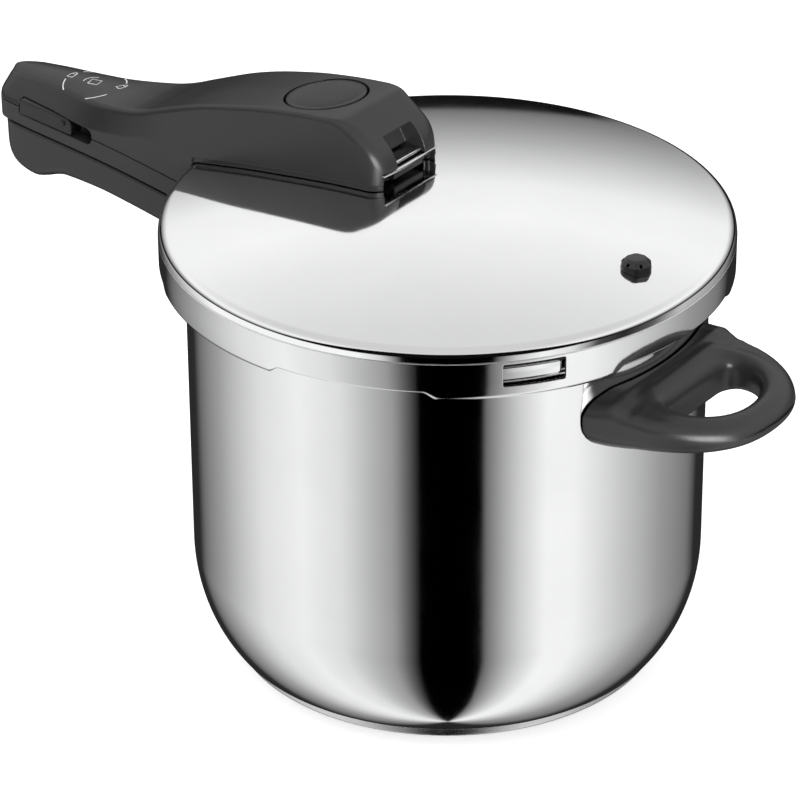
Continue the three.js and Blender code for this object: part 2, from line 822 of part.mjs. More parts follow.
const lid = new THREE.Group().add(
  piece("sealing_ring", sealingRing(), silicone),
  piece("lid_shell", lidShell(), polished),
  piece("lid_front_bracket", frontBracket(), polished),
  piece("front_hook", frontHook(), darkPlastic),
  piece("front_hook_plate", frontHookPlate(), brushed),
  piece("lid_handle_upper_shell", upperShell(), plastic),
  piece("lid_handle_lower_shell", lowerShell(), plastic),
  piece("handle_gasket", handleGasket(), silicone),
  ...SHELL_SCREWS.map((place) => piece(place.name, shellScrew(place), brushed)),
);

const safetyValve = at(
  VALVE_X,
  VALVE_Y,
  piece("safety_valve_cap", valveCap(), darkPlastic),
  piece("safety_valve_body", valveBody(), brushed),
  piece("safety_valve_nut", valveNut(), brushed),
  piece("safety_valve_ball", valveBall(), polished),
);

const indicator = at(
  INDICATOR_X,
  0,
  piece("indicator_cap", indicatorCap(), plastic),
  piece("indicator_ring_high", indicatorRingHigh(), ringHigh),
  piece("indicator_ring_low", indicatorRingLow(), ringLow),
  piece("indicator_stem", indicatorStem(), brushed),
  piece("indicator_spring", coil(4.5, 0.35, 200.6, WELL_FLOOR - 0.3, 5), springSteel),
);

const slider = new THREE.Group().add(
  piece("slider_block", sliderBlock(), darkPlastic),
  piece("locking_bar", lockingBar(), brushed),
  piece("slider_spring", sliderSpring(), springSteel),
);

const cooker = new THREE.Group().add(pot, lid, safetyValve, indicator, slider);
cooker.position.z = -BASE_Z;

export default cooker;
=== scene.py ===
import math

import bmesh
import bpy
import numpy as np
from mathutils import Matrix, Vector


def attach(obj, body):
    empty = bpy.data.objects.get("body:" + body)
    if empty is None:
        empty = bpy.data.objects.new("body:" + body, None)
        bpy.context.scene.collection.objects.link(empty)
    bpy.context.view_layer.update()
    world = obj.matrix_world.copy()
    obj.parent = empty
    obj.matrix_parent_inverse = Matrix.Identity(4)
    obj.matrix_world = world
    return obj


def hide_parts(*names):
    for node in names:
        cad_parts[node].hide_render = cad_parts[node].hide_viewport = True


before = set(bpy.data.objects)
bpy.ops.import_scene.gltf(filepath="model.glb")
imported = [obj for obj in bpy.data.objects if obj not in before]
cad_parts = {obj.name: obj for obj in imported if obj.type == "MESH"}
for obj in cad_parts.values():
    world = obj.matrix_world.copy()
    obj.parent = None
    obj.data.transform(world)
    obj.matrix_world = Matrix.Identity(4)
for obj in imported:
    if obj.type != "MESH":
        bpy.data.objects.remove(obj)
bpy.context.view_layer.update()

# The looks of a stay-handle pressure cooker. Sizes are in millimetres in the row frame and become
# metres when a mesh is made; the long handle points to -X. Heights are counted from a datum 10.3 mm
# above the pot's underside, and make_piece raises every mesh by that much.

MM = 0.001

# ---- Driving dimensions ----------------------------------------------------------------------

# Pot: wall, rim, floor, and the lugs that the lid's lobes turn under.
POT_R = 111.5
WALL = 1.2
RIM_Z = 181
BASE_Z = -10.3
FLOOR_Z = BASE_Z + 5
CORNER_WIDTH = 45
CORNER_HEIGHT = 60.5
CORNER_Z = 38
BASE_R = 95.2
LUG_R = 119.4
LUG_HALF = 12.5
LUG_Z = 172.4

# Lid: skirt, shoulder and dome. A lobe is (middle, half width) in degrees.
LID_R = 122.4
SHOULDER_R = 118
SHOULDER_Z = 191
DOME_RISE = 12.5
SKIRT_Z = 171.9
LOBE_Z = 168.2
HOOK_R = 115.6
LOBES = [(180, 18), (109.6, 20.3), (-109.6, 20.3), (38.4, 19), (-38.4, 19)]
WINDOW = {"angle": -37.4, "half": 6.2, "low": 173.6, "high": 183.8}

# Long handle: its two shells meet at the seam, a plane that falls towards the pot.
SEAM_SLOPE = 0.0928
SEAM_Z = 184.8
SEAM_X = -200
LOWER_SHELL = 8.7
HANDLE_GAP = 1.2
SHELL_WALL = 2.4
HANDLE_END = -240.5
HANDLE_FRONT = -18.6

# Indicator, and the well it rises from.
INDICATOR_X = -63.7
INDICATOR_R = 17.5
INDICATOR_TILT = math.radians(8)
INDICATOR_Z = 229.1
WELL_R = 18.4
WELL_FLOOR = 214.4
INDICATOR_RISE = 8

VALVE_X = 96.8
VALVE_Y = -1.8
VALVE_TOP = 200.2

# Slider, along the grip and up from the seam.
SLOT_BACK = -23
SLOT_FRONT = 20
SLOT_LOW = -3.6
SLOT_HIGH = 4.2
SLIDER_LENGTH = 30.4
CORE_HALF = 11.8
SLIDER_PUSH = 11

# The wire of both springs. They are drawn pressed, shorter by INDICATOR_RISE and SLIDER_PUSH, so
# that they clear the shells all the way.
COIL_WIRE = 0.35

# Side handle, a loop round the finger hole.
SIDE_TIP = 167
SIDE_HALF = 47
HOLE_FRONT = 152
HOLE_BACK = 126.5
HOLE_HALF = 24

# The camera looks over the front right of the pot.
VIEW_AZIMUTH = math.radians(36)
VIEW_ELEVATION = math.radians(29.4)
VIEW_DISTANCE = 1.8
VIEW_CENTRE = Vector((0, 0, 0.1003))

# ---- Camera, light and floor -------------------------------------------------------------------


def make_camera():
    out = Vector(
        (
            math.sin(VIEW_AZIMUTH) * math.cos(VIEW_ELEVATION),
            -math.cos(VIEW_AZIMUTH) * math.cos(VIEW_ELEVATION),
            math.sin(VIEW_ELEVATION),
        )
    )
    data = bpy.data.cameras.new("camera")
    data.lens = 186.6
    data.sensor_width = 36
    data.shift_x = -0.0594
    data.shift_y = 0.0275
    camera = bpy.data.objects.new("camera", data)
    camera.location = VIEW_CENTRE + VIEW_DISTANCE * out
    camera.rotation_euler = (-out).to_track_quat("-Z", "Y").to_euler()
    bpy.context.collection.objects.link(camera)
    bpy.context.scene.camera = camera


class Graph:
    """A short way to write a node tree: every method adds a node and returns its output."""

    def __init__(self, tree):
        self.tree = tree

    def node(self, kind, **settings):
        made = self.tree.nodes.new(kind)
        for key, value in settings.items():
            setattr(made, key, value)
        return made

    def feed(self, socket, value):
        if isinstance(value, bpy.types.NodeSocket):
            self.tree.links.new(value, socket)
        else:
            socket.default_value = value

    def math(self, operation, *values, clamp=False):
        made = self.node("ShaderNodeMath", operation=operation, use_clamp=clamp)
        for socket, value in zip(made.inputs, values):
            self.feed(socket, value)
        return made.outputs[0]

    def vector(self, operation, *values):
        made = self.node("ShaderNodeVectorMath", operation=operation)
        for socket, value in zip(made.inputs, values):
            self.feed(socket, value)
        return made.outputs["Value" if operation in ("DOT_PRODUCT", "LENGTH") else "Vector"]

    def split(self, vector):
        made = self.node("ShaderNodeSeparateXYZ")
        self.feed(made.inputs[0], vector)
        return made.outputs

    def join(self, x, y, z):
        made = self.node("ShaderNodeCombineXYZ")
        for socket, value in zip(made.inputs, (x, y, z)):
            self.feed(socket, value)
        return made.outputs[0]

    def noise(self, vector, scale, detail=2.0, roughness=0.5):
        made = self.node("ShaderNodeTexNoise")
        self.feed(made.inputs["Vector"], vector)
        made.inputs["Scale"].default_value = scale
        made.inputs["Detail"].default_value = detail
        made.inputs["Roughness"].default_value = roughness
        return made.outputs[0]

    def remap(self, value, low, high, to_low=0.0, to_high=1.0, smooth=False):
        made = self.node("ShaderNodeMapRange")
        made.interpolation_type = "SMOOTHSTEP" if smooth else "LINEAR"
        for name, number in (
            ("Value", value),
            ("From Min", low),
            ("From Max", high),
            ("To Min", to_low),
            ("To Max", to_high),
        ):
            self.feed(made.inputs[name], number)
        return made.outputs[0]

    def ramp(self, value, stops):
        """stops are (place, brightness) pairs, with brightness as it shows on a screen, 0 to 255."""
        made = self.node("ShaderNodeValToRGB")
        self.feed(made.inputs[0], value)
        elements = made.color_ramp.elements
        while len(elements) < len(stops):
            elements.new(0.5)
        for element, (place, shown) in zip(elements, stops):
            element.position = place
            level = (shown / 255) ** 2.2
            element.color = (level, level, level, 1)
        return made.outputs[0]

    def mix(self, factor, a, b):
        made = self.node("ShaderNodeMix", data_type="RGBA")
        self.feed(made.inputs[0], factor)
        self.feed(made.inputs[6], a)
        self.feed(made.inputs[7], b)
        return made.outputs[2]


# How bright the studio is, from 0 to 255, by degrees away from where the camera stands. The floor
# and the belt above it differ left and right of the camera. ABOVE goes by degrees of elevation.
FLOOR_LEFT = [(0, 3), (12, 3), (14, 55), (18, 100), (24, 154), (34, 184), (48, 225), (68, 244)]
FLOOR_LEFT += [(90, 226), (120, 158), (140, 110), (150, 45), (180, 40)]
FLOOR_RIGHT = [(0, 3), (15, 3), (16.6, 105), (24, 165), (32, 208), (44, 248), (58, 246)]
FLOOR_RIGHT += [(84, 200), (110, 152), (136, 115), (148, 45), (180, 40)]
BELT_LEFT = [(0, 3), (17, 3), (25, 215), (34, 252), (100, 252), (128, 170), (150, 70), (180, 40)]
BELT_RIGHT = [(0, 3), (17, 3), (26, 200), (36, 250), (48, 225), (58, 75), (70, 45), (84, 90)]
BELT_RIGHT += [(100, 190), (128, 150), (150, 60), (180, 40)]
ABOVE = [(6, 112), (10, 142), (15, 176), (20, 212), (25, 242), (32, 249), (40, 236), (50, 219)]
ABOVE += [(62, 210), (90, 210)]


def make_studio():
    """White to the camera. For reflections and light, soft panels round a dark strip at the horizon."""
    world = bpy.data.worlds.new("studio")
    bpy.context.scene.world = world
    world.use_nodes = True
    g = Graph(world.node_tree)
    g.tree.nodes.clear()
    direction = g.node("ShaderNodeTexCoord").outputs["Generated"]
    toward = (math.sin(VIEW_AZIMUTH), -math.cos(VIEW_AZIMUTH), 0)
    right = (math.cos(VIEW_AZIMUTH), math.sin(VIEW_AZIMUTH), 0)
    ahead = g.vector("DOT_PRODUCT", direction, toward)
    side = g.vector("DOT_PRODUCT", direction, right)
    height = g.split(direction)[2]
    around = g.math("DIVIDE", g.math("ARCTAN2", g.math("ABSOLUTE", side), ahead), math.pi)
    elevation = g.math("MULTIPLY", g.math("ARCSINE", height), 180 / math.pi)

    def by_degrees(value, stops, full):
        return g.ramp(value, [(degrees / full, shown) for degrees, shown in stops])

    def by_side(left, right):
        on_right = g.math("GREATER_THAN", side, 0.0)
        return g.mix(on_right, by_degrees(around, left, 180), by_degrees(around, right, 180))

    floor = by_side(FLOOR_LEFT, FLOOR_RIGHT)
    belt = by_side(BELT_LEFT, BELT_RIGHT)
    low = g.mix(g.remap(elevation, -26.0, -23.0, smooth=True), floor, belt)
    above = by_degrees(g.math("DIVIDE", elevation, 90), ABOVE, 90)
    # The dark strip is thin behind and beside the pot, and a tall panel in front of it.
    strip_top = g.remap(around, 0.12, 0.42, 42.0, 5.0, smooth=True)
    over = g.math("SUBTRACT", elevation, strip_top)
    lit_above = g.mix(g.remap(over, 0.0, 1.5, smooth=True), (0.004, 0.004, 0.004, 1), above)
    lit = g.mix(g.remap(elevation, -8.0, -3.0, smooth=True), low, lit_above)
    seen = g.node("ShaderNodeLightPath").outputs["Is Camera Ray"]
    background = g.node("ShaderNodeBackground")
    g.feed(background.inputs["Color"], g.mix(seen, lit, (1, 1, 1, 1)))
    background.inputs["Strength"].default_value = 1.2
    output = g.node("ShaderNodeOutputWorld")
    g.feed(output.inputs["Surface"], background.outputs[0])


LAMP_DISTANCE = 1.6


def area_light(name, azimuth, elevation, size, power):
    """A soft lamp that shines at the middle of the pot, angles in degrees as the camera's are."""
    a = math.radians(azimuth)
    e = math.radians(elevation)
    out = Vector((math.sin(a) * math.cos(e), -math.cos(a) * math.cos(e), math.sin(e)))
    data = bpy.data.lights.new(name, "AREA")
    data.size = size
    data.energy = power
    lamp = bpy.data.objects.new(name, data)
    lamp.location = VIEW_CENTRE + LAMP_DISTANCE * out
    lamp.rotation_euler = (-out).to_track_quat("-Z", "Y").to_euler()
    lamp.visible_glossy = False
    bpy.context.collection.objects.link(lamp)
    return lamp


def light_only(lamp, pieces):
    """Keeps a lamp's light, and its highlight, to some of the pieces."""
    group = bpy.data.collections.new(lamp.name + "_pieces")
    for piece in pieces:
        group.objects.link(piece)
    lamp.light_linking.receiver_collection = group
    lamp.visible_glossy = True


def make_floor():
    mesh = bpy.data.meshes.new("floor")
    half = 12.0
    corners = [(-half, -half, 0), (half, -half, 0), (half, half, 0), (-half, half, 0)]
    mesh.from_pydata(corners, [], [(0, 1, 2, 3)])
    floor = bpy.data.objects.new("floor", mesh)
    bpy.context.collection.objects.link(floor)
    material = bpy.data.materials.new("pale_floor")
    material.use_nodes = True
    g = Graph(material.node_tree)
    g.tree.nodes.clear()
    diffuse = g.node("ShaderNodeBsdfDiffuse")
    diffuse.inputs["Color"].default_value = (0.8, 0.8, 0.8, 1)
    glow = g.node("ShaderNodeEmission")
    glow.inputs["Strength"].default_value = 0.6
    seen = g.node("ShaderNodeLightPath").outputs["Is Camera Ray"]
    both = g.node("ShaderNodeAddShader")
    g.feed(both.inputs[0], diffuse.outputs[0])
    g.feed(both.inputs[1], glow.outputs[0])
    choose = g.node("ShaderNodeMixShader")
    g.feed(choose.inputs[0], seen)
    g.feed(choose.inputs[1], diffuse.outputs[0])
    g.feed(choose.inputs[2], both.outputs[0])
    output = g.node("ShaderNodeOutputMaterial")
    g.feed(output.inputs["Surface"], choose.outputs[0])
    mesh.materials.append(material)
    floor.visible_glossy = False


# ---- Materials ---------------------------------------------------------------------------------


def new_material(name):
    material = bpy.data.materials.new(name)
    material.use_nodes = True
    g = Graph(material.node_tree)
    shader = g.tree.nodes["Principled BSDF"]
    place = g.node("ShaderNodeTexCoord").outputs["Object"]
    return material, g, shader, place


def rounded_edges(g, radius):
    bevel = g.node("ShaderNodeBevel", samples=6)
    bevel.inputs["Radius"].default_value = radius * MM
    return bevel.outputs[0]


def bump(g, height, strength, distance, normal=None):
    made = g.node("ShaderNodeBump")
    g.feed(made.inputs["Height"], height)
    made.inputs["Strength"].default_value = strength
    made.inputs["Distance"].default_value = distance * MM
    if normal is not None:
        g.feed(made.inputs["Normal"], normal)
    return made.outputs[0]


def two_tones(colour, share):
    """A colour, and the same colour darker or lighter by a share, as a shader takes them."""
    return (*colour, 1), (*[value * share for value in colour], 1)


def round_the_axis(g, place, along):
    """Coordinates that follow a turned part: radius, a little of the angle, and height."""
    x, y, z = g.split(place)
    radius = g.vector("LENGTH", g.join(x, y, 0.0))
    angle = g.math("MULTIPLY", g.math("ARCTAN2", y, x), along)
    return g.join(radius, angle, z)


def polished_steel():
    """Mirror-polished sheet: faint polishing lines round the axis, and a few wiped smudges."""
    material, g, shader, place = new_material("polished_steel")
    turned = round_the_axis(g, place, 0.012)
    lines = g.noise(turned, 2600, 3, 0.6)
    smudge = g.noise(place, 22, 4, 0.62)
    tint = g.mix(g.remap(smudge, 0.35, 0.7), (0.800, 0.802, 0.806, 1), (0.775, 0.778, 0.784, 1))
    g.feed(shader.inputs["Base Color"], tint)
    shader.inputs["Metallic"].default_value = 1.0
    gloss = g.math("ADD", g.remap(smudge, 0.3, 0.75, 0.035, 0.085), g.remap(lines, 0.3, 0.7, 0.0, 0.03))
    g.feed(shader.inputs["Roughness"], gloss)
    g.feed(shader.inputs["Normal"], bump(g, lines, 0.05, 0.004, rounded_edges(g, 0.35)))
    return material


def turned_steel(name, colour, roughness):
    """Steel with turning rings that catch the light."""
    material, g, shader, place = new_material(name)
    turned = round_the_axis(g, place, 0.01)
    rings = g.noise(turned, 1500, 4, 0.65)
    stain = g.noise(place, 30, 4, 0.6)
    g.feed(shader.inputs["Base Color"], g.mix(g.remap(stain, 0.35, 0.7), *two_tones(colour, 0.86)))
    shader.inputs["Metallic"].default_value = 1.0
    g.feed(shader.inputs["Roughness"], g.remap(rings, 0.25, 0.75, roughness - 0.07, roughness + 0.1))
    g.feed(shader.inputs["Normal"], bump(g, rings, 0.25, 0.02, rounded_edges(g, 0.4)))
    return material


def plain_steel(name, colour, roughness):
    """Bright sheet, wire or screw steel with fine random scratches."""
    material, g, shader, place = new_material(name)
    fine = g.noise(place, 900, 5, 0.7)
    stain = g.noise(place, 60, 3, 0.6)
    g.feed(shader.inputs["Base Color"], g.mix(g.remap(stain, 0.3, 0.75), *two_tones(colour, 0.82)))
    shader.inputs["Metallic"].default_value = 1.0
    g.feed(shader.inputs["Roughness"], g.remap(fine, 0.3, 0.7, roughness - 0.06, roughness + 0.08))
    g.feed(shader.inputs["Normal"], bump(g, fine, 0.12, 0.01, rounded_edges(g, 0.3)))
    return material


def moulded_plastic(name, colour, roughness, wear=0.35):
    """Satin moulded plastic: fine spark-eroded grain, slow colour drift, edges polished by hands."""
    material, g, shader, place = new_material(name)
    soft_edge = rounded_edges(g, 0.7)
    grain = g.noise(place, 3200, 3, 0.55)
    drift = g.noise(place, 26, 4, 0.6)
    dust = g.noise(place, 420, 3, 0.7)
    face = g.node("ShaderNodeNewGeometry").outputs["Normal"]
    flatness = g.vector("DOT_PRODUCT", face, soft_edge)
    rubbed = g.math("MULTIPLY", g.remap(flatness, 0.995, 0.90, smooth=True), g.remap(dust, 0.35, 0.65))
    body = g.mix(g.remap(drift, 0.3, 0.7), *two_tones(colour, 1.22))
    worn = two_tones(colour, 2.1)[1]
    g.feed(shader.inputs["Base Color"], g.mix(g.math("MULTIPLY", rubbed, wear), body, worn))
    uneven = g.remap(drift, 0.3, 0.7, roughness - 0.03, roughness + 0.04)
    matt = g.math("ADD", uneven, g.remap(dust, 0.45, 0.75, 0.0, 0.06))
    g.feed(shader.inputs["Roughness"], g.math("SUBTRACT", matt, g.math("MULTIPLY", rubbed, 0.12)))
    shader.inputs["Specular IOR Level"].default_value = 0.34
    g.feed(shader.inputs["Normal"], bump(g, grain, 0.16, 0.03, soft_edge))
    return material


def rubber(name, colour, roughness):
    """Silicone: dull, with a faint sheen and moulding specks."""
    material, g, shader, place = new_material(name)
    speck = g.noise(place, 1400, 3, 0.6)
    drift = g.noise(place, 45, 3, 0.6)
    g.feed(shader.inputs["Base Color"], g.mix(g.remap(drift, 0.3, 0.7), *two_tones(colour, 0.85)))
    g.feed(shader.inputs["Roughness"], g.remap(speck, 0.3, 0.7, roughness - 0.06, roughness + 0.08))
    shader.inputs["Sheen Weight"].default_value = 0.15
    g.feed(shader.inputs["Normal"], bump(g, speck, 0.2, 0.03, rounded_edges(g, 0.4)))
    return material


def printed_ink():
    """White pad print, a little thin in places."""
    material, g, shader, place = new_material("printed_ink")
    thin = g.noise(place, 1900, 4, 0.7)
    solid, faded = (0.80, 0.80, 0.80, 1), (0.45, 0.45, 0.45, 1)
    g.feed(shader.inputs["Base Color"], g.mix(g.remap(thin, 0.4, 0.8), solid, faded))
    g.feed(shader.inputs["Roughness"], g.remap(thin, 0.3, 0.7, 0.45, 0.6))
    return material


# ---- Mesh making -------------------------------------------------------------------------------


def make_piece(name, made, material, angle=33):
    """made is (points in mm, faces). Shared points are merged, and faces point outwards."""
    points, faces = made
    mesh = bpy.data.meshes.new(name)
    mesh.from_pydata([(x * MM, y * MM, (z - BASE_Z) * MM) for x, y, z in points], [], faces)
    tidy_mesh(mesh)
    obj = bpy.data.objects.new(name, mesh)
    bpy.context.collection.objects.link(obj)
    mesh.materials.append(material)
    shade(obj, angle)
    return obj


def tidy_mesh(mesh):
    """Merges doubled points, drops thin and loose bits, and turns the faces outwards."""
    work = bmesh.new()
    work.from_mesh(mesh)
    bmesh.ops.remove_doubles(work, verts=work.verts, dist=0.002 * MM)
    bmesh.ops.dissolve_degenerate(work, edges=work.edges, dist=0.001 * MM)
    loose = [edge for edge in work.edges if edge.is_wire]
    bmesh.ops.delete(work, geom=loose, context="EDGES")
    bmesh.ops.recalc_face_normals(work, faces=work.faces)
    work.to_mesh(mesh)
    work.free()


def shade(obj, angle=33):
    obj.data.shade_smooth()
    obj.data.set_sharp_from_angle(angle=math.radians(angle))


def grid(rings, loop=False):
    """A skin over rings of equally many points. With loop it closes on itself, else its ends are capped."""
    count = len(rings[0])
    points = [tuple(p) for ring in rings for p in ring]
    faces = []
    for i in range(len(rings) if loop else len(rings) - 1):
        a = i * count
        b = (i + 1) % len(rings) * count
        for j in range(count):
            k = (j + 1) % count
            faces.append((a + j, b + j, b + k, a + k))
    if not loop:
        last = (len(rings) - 1) * count
        faces.append(tuple(range(count)))
        faces.append(tuple(last + j for j in reversed(range(count))))
    return points, faces


def lathe(profile, segments=160, x=0.0, y=0.0):
    """A closed profile of (radius, height) pairs, turned round an upright axis."""
    rings = []
    for i in range(segments):
        angle = 2 * math.pi * i / segments
        rings.append([(x + r * math.cos(angle), y + r * math.sin(angle), z) for r, z in profile])
    return grid(rings, loop=True)


def arc(r, z, radius_r, radius_z, start, end, steps):
    """Points of an elliptical arc in the radius-height plane, angles in degrees."""
    angles = [math.radians(start + (end - start) * i / steps) for i in range(steps + 1)]
    return [(r + radius_r * math.cos(a), z + radius_z * math.sin(a)) for a in angles]


def rounded(points, radii, steps=6, closed=False):
    """A polyline with its corners rounded off."""
    points = [Vector(p) for p in points]
    if not hasattr(radii, "__len__"):
        radii = [radii] * len(points)
    out = []
    for i, (corner, radius) in enumerate(zip(points, radii)):
        if radius <= 0 or (not closed and i in (0, len(points) - 1)):
            out.append(tuple(corner))
            continue
        before = points[i - 1] - corner
        after = points[(i + 1) % len(points)] - corner
        bend = before.angle(after, math.pi)
        reach = min(radius / max(math.tan(bend / 2), 1e-3), 0.49 * before.length, 0.49 * after.length)
        start = corner + before.normalized() * reach
        end = corner + after.normalized() * reach
        for k in range(steps + 1):
            t = k / steps
            out.append(tuple(start * (1 - t) ** 2 + corner * 2 * t * (1 - t) + end * t * t))
    return out


def rectangle(left, low, right, high):
    return [(left, low), (right, low), (right, high), (left, high)]


def fine_outline(outline, step=1.5):
    """An outline with points added along its long straight sides."""
    fine = []
    for (a0, b0), (a1, b1) in zip(outline, outline[1:] + outline[:1]):
        count = max(1, int(abs(a1 - a0) / step))
        fine += [(a0 + (a1 - a0) * i / count, b0 + (b1 - b0) * i / count) for i in range(count)]
    return fine


def placed(made, place):
    """The same faces, with every point moved by place."""
    points, faces = made
    return [place(*point) for point in points], faces


def prism(outline, place, low, high):
    """An outline of pairs, swept from low to high. place turns (a, b, sweep) into a point."""
    return grid([[place(a, b, level) for a, b in outline] for level in (low, high)])


def across(a, b, sweep):
    return (a, sweep, b)


def upwards(a, b, sweep):
    return (a, b, sweep)


def soften(obj, width, segments=3, angle=30):
    """Rounds the sharp edges of a plain solid."""
    work = bmesh.new()
    work.from_mesh(obj.data)
    limit = math.radians(angle)
    edges = [e for e in work.edges if e.is_manifold and e.calc_face_angle(0) > limit]
    bmesh.ops.bevel(
        work,
        geom=edges,
        offset=width * MM,
        offset_type="OFFSET",
        segments=segments,
        profile=0.5,
        affect="EDGES",
        clamp_overlap=True,
    )
    work.to_mesh(obj.data)
    work.free()
    shade(obj, 40)


def combine(target, other, operation):
    """Joins other to target, cuts it from target, or keeps what is common. The other is used up."""
    modifier = target.modifiers.new("combine", "BOOLEAN")
    modifier.solver = "MANIFOLD"
    modifier.operation = operation
    modifier.object = other
    bpy.context.view_layer.update()
    result = target.evaluated_get(bpy.context.evaluated_depsgraph_get())
    mesh = bpy.data.meshes.new_from_object(result)
    target.modifiers.clear()
    old = target.data
    if not mesh.polygons:
        raise RuntimeError(f"nothing is left of {target.name} after {other.name}")
    target.data = mesh
    bpy.data.meshes.remove(old)
    bpy.data.objects.remove(other)


def tool(made):
    """A solid that only joins or cuts."""
    return make_piece("tool", made, helper_material)


def add(target, made):
    combine(target, tool(made), "UNION")


def cut(target, *cutters):
    for made in cutters:
        combine(target, tool(made), "DIFFERENCE")


def keep(target, made):
    combine(target, tool(made), "INTERSECT")


def finish_piece(obj, body, node_names, angle):
    """Parents a finished piece to its body, hides the CAD nodes it stands for and leaves it one material
    slot.
    """
    while len(obj.data.materials) > 1:
        obj.data.materials.pop()
    obj.data.polygons.foreach_set("material_index", [0] * len(obj.data.polygons))
    tidy_mesh(obj.data)
    obj.data.name = obj.name
    shade(obj, angle)
    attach(obj, body)
    if node_names:
        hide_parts(*node_names)


def smooth_curve(xs, ys):
    """A monotone cubic through a few points."""
    xs = np.array(xs, float)
    ys = np.array(ys, float)
    step = np.diff(xs)
    rise = np.diff(ys) / step
    slope = np.concatenate([[rise[0]], np.zeros(len(xs) - 2), [rise[-1]]])
    for i in range(1, len(xs) - 1):
        if rise[i - 1] * rise[i] > 0:
            slope[i] = 2 / (1 / rise[i - 1] + 1 / rise[i])

    def value(x):
        i = int(np.clip(np.searchsorted(xs, x) - 1, 0, len(step) - 1))
        t = float(np.clip((x - xs[i]) / step[i], 0, 1))
        h = step[i]
        return (
            ys[i] * (2 * t**3 - 3 * t**2 + 1)
            + slope[i] * h * (t**3 - 2 * t**2 + t)
            + ys[i + 1] * (3 * t**2 - 2 * t**3)
            + slope[i + 1] * h * (t**3 - t**2)
        )

    return value


def ease(t):
    t = min(max(t, 0.0), 1.0)
    return t * t * (3 - 2 * t)


# ---- Shared shapes -----------------------------------------------------------------------------


def dome_height(r):
    return SHOULDER_Z + DOME_RISE * (1 - (r / SHOULDER_R) ** 2)


# Above the skirt's groove the lid leans in a little, then rolls over to the dome.
LEAN_Z = 185.3
LEAN_HEIGHT = 2.6
LEAN_IN = 0.36
ROLL_START = 12
ROLL_END = 78


def shoulder(raise_by):
    """The lid's rounded edge, from the skirt up to the dome."""
    start, end = math.radians(ROLL_START), math.radians(ROLL_END)
    width = (LID_R - LEAN_IN - SHOULDER_R) / (math.cos(start) - math.cos(end))
    height = (SHOULDER_Z - LEAN_Z - LEAN_HEIGHT) / (math.sin(end) - math.sin(start))
    centre_r = SHOULDER_R - width * math.cos(end)
    centre_z = SHOULDER_Z - height * math.sin(end)
    lean = []
    for i in range(5):
        t = i / 5
        leant = LEAN_IN * (0.55 * t + 0.45 * t * t)
        lean.append((LID_R + raise_by - leant, LEAN_Z + LEAN_HEIGHT * t))
    roll = arc(centre_r, centre_z, width + raise_by, height + raise_by, ROLL_START, ROLL_END, 12)
    return [*lean, *roll]


def dome_curve(raise_by):
    """The dome from its edge to the axis."""
    steps = 26
    radii = [SHOULDER_R * (1 - i / steps) for i in range(steps + 1)]
    return [(r, dome_height(r) + raise_by) for r in radii]


def lid_space(clearance, bottom=150):
    """Everything under the lid's outside, grown by a clearance."""
    edge = [(0, bottom), (LID_R + clearance, bottom)]
    return lathe([*edge, *shoulder(clearance), *dome_curve(clearance)[1:]], 180)


def share_at(degrees, sectors, blend):
    """1 inside the sectors, 0 between them, and a soft step, blend degrees wide, at their edges."""
    share = 0.0
    for centre, half in sectors:
        away = abs((degrees - centre + 180) % 360 - 180)
        share = max(share, ease((half + blend / 2 - away) / blend))
    return share


def fine_angles(edges):
    """Angles round the axis, in degrees, closer together near each edge."""
    reach, coarse, fine = 2.6, 1.25, 0.25
    angles = set(np.round(np.arange(0, 360, coarse), 4))
    for edge in edges:
        angles |= set(np.round((edge + np.arange(-reach, reach + fine / 2, fine)) % 360, 4))
    return sorted(angles)


def turned_by_angle(profile_at, sectors):
    """A turned skin whose profile changes at the edges of some sectors."""
    edges = [centre + side * half for centre, half in sectors for side in (-1, 1)]
    rings = []
    for degrees in fine_angles(edges):
        a = math.radians(degrees)
        rings.append([(r * math.cos(a), r * math.sin(a), z) for r, z in profile_at(degrees)])
    return grid(rings, loop=True)


def seam_height(x):
    return SEAM_Z + SEAM_SLOPE * (SEAM_X - x)


def on_grip(made):
    """Points given along the grip, across it and up from the seam, put in the row frame."""
    tilt = math.atan(SEAM_SLOPE)
    c, s = math.cos(tilt), math.sin(tilt)
    return placed(made, lambda u, y, v: (SEAM_X + u * c + v * s, y, SEAM_Z - u * s + v * c))


# ---- Long handle: outer form -------------------------------------------------------------------

# Height of the top, half the width along the upper crease and half the width at the seam.
SECTIONS = [
    (-241, 197.0, 7.0, 18.0), (-228, 198.1, 8.4, 19.0), (-215, 198.9, 9.8, 19.5),
    (-205, 199.2, 11.0, 19.6), (-193, 199.4, 13.0, 19.7), (-182, 199.6, 15.0, 19.9),
    (-172, 200.1, 16.4, 20.2), (-160, 201.9, 17.8, 20.9), (-150, 204.7, 18.8, 21.6),
    (-140, 208.7, 19.8, 22.4), (-118, 217.0, 21.8, 24.4), (-98, 222.5, 22.8, 25.0),
    (-76, 227.2, 22.8, 25.1), (-53, 230.3, 22.8, 24.3), (-42.5, 231.1, 22.6, 23.6),
    (-39.5, 230.8, 22.4, 23.5), (-36.5, 229.3, 22.2, 23.3), (-33, 227.4, 21.9, 23.2),
    (-30, 225.4, 21.6, 23.0), (-26, 222.4, 21.2, 22.8), (-23, 219.5, 20.8, 22.6),
    (-20.6, 216.2, 20.4, 22.5), (-19.2, 213.0, 20.2, 22.4), (-18.6, 210.2, 20.0, 22.4),
]
top_curve, crease_curve, base_curve = (
    smooth_curve([row[0] for row in SECTIONS], [row[i] for row in SECTIONS]) for i in (1, 2, 3)
)
END_LENGTH = 10  # the rounded end in plan
END_DROP = 1.5  # how far the top rolls down at the end, over END_ROLL
END_ROLL = 4
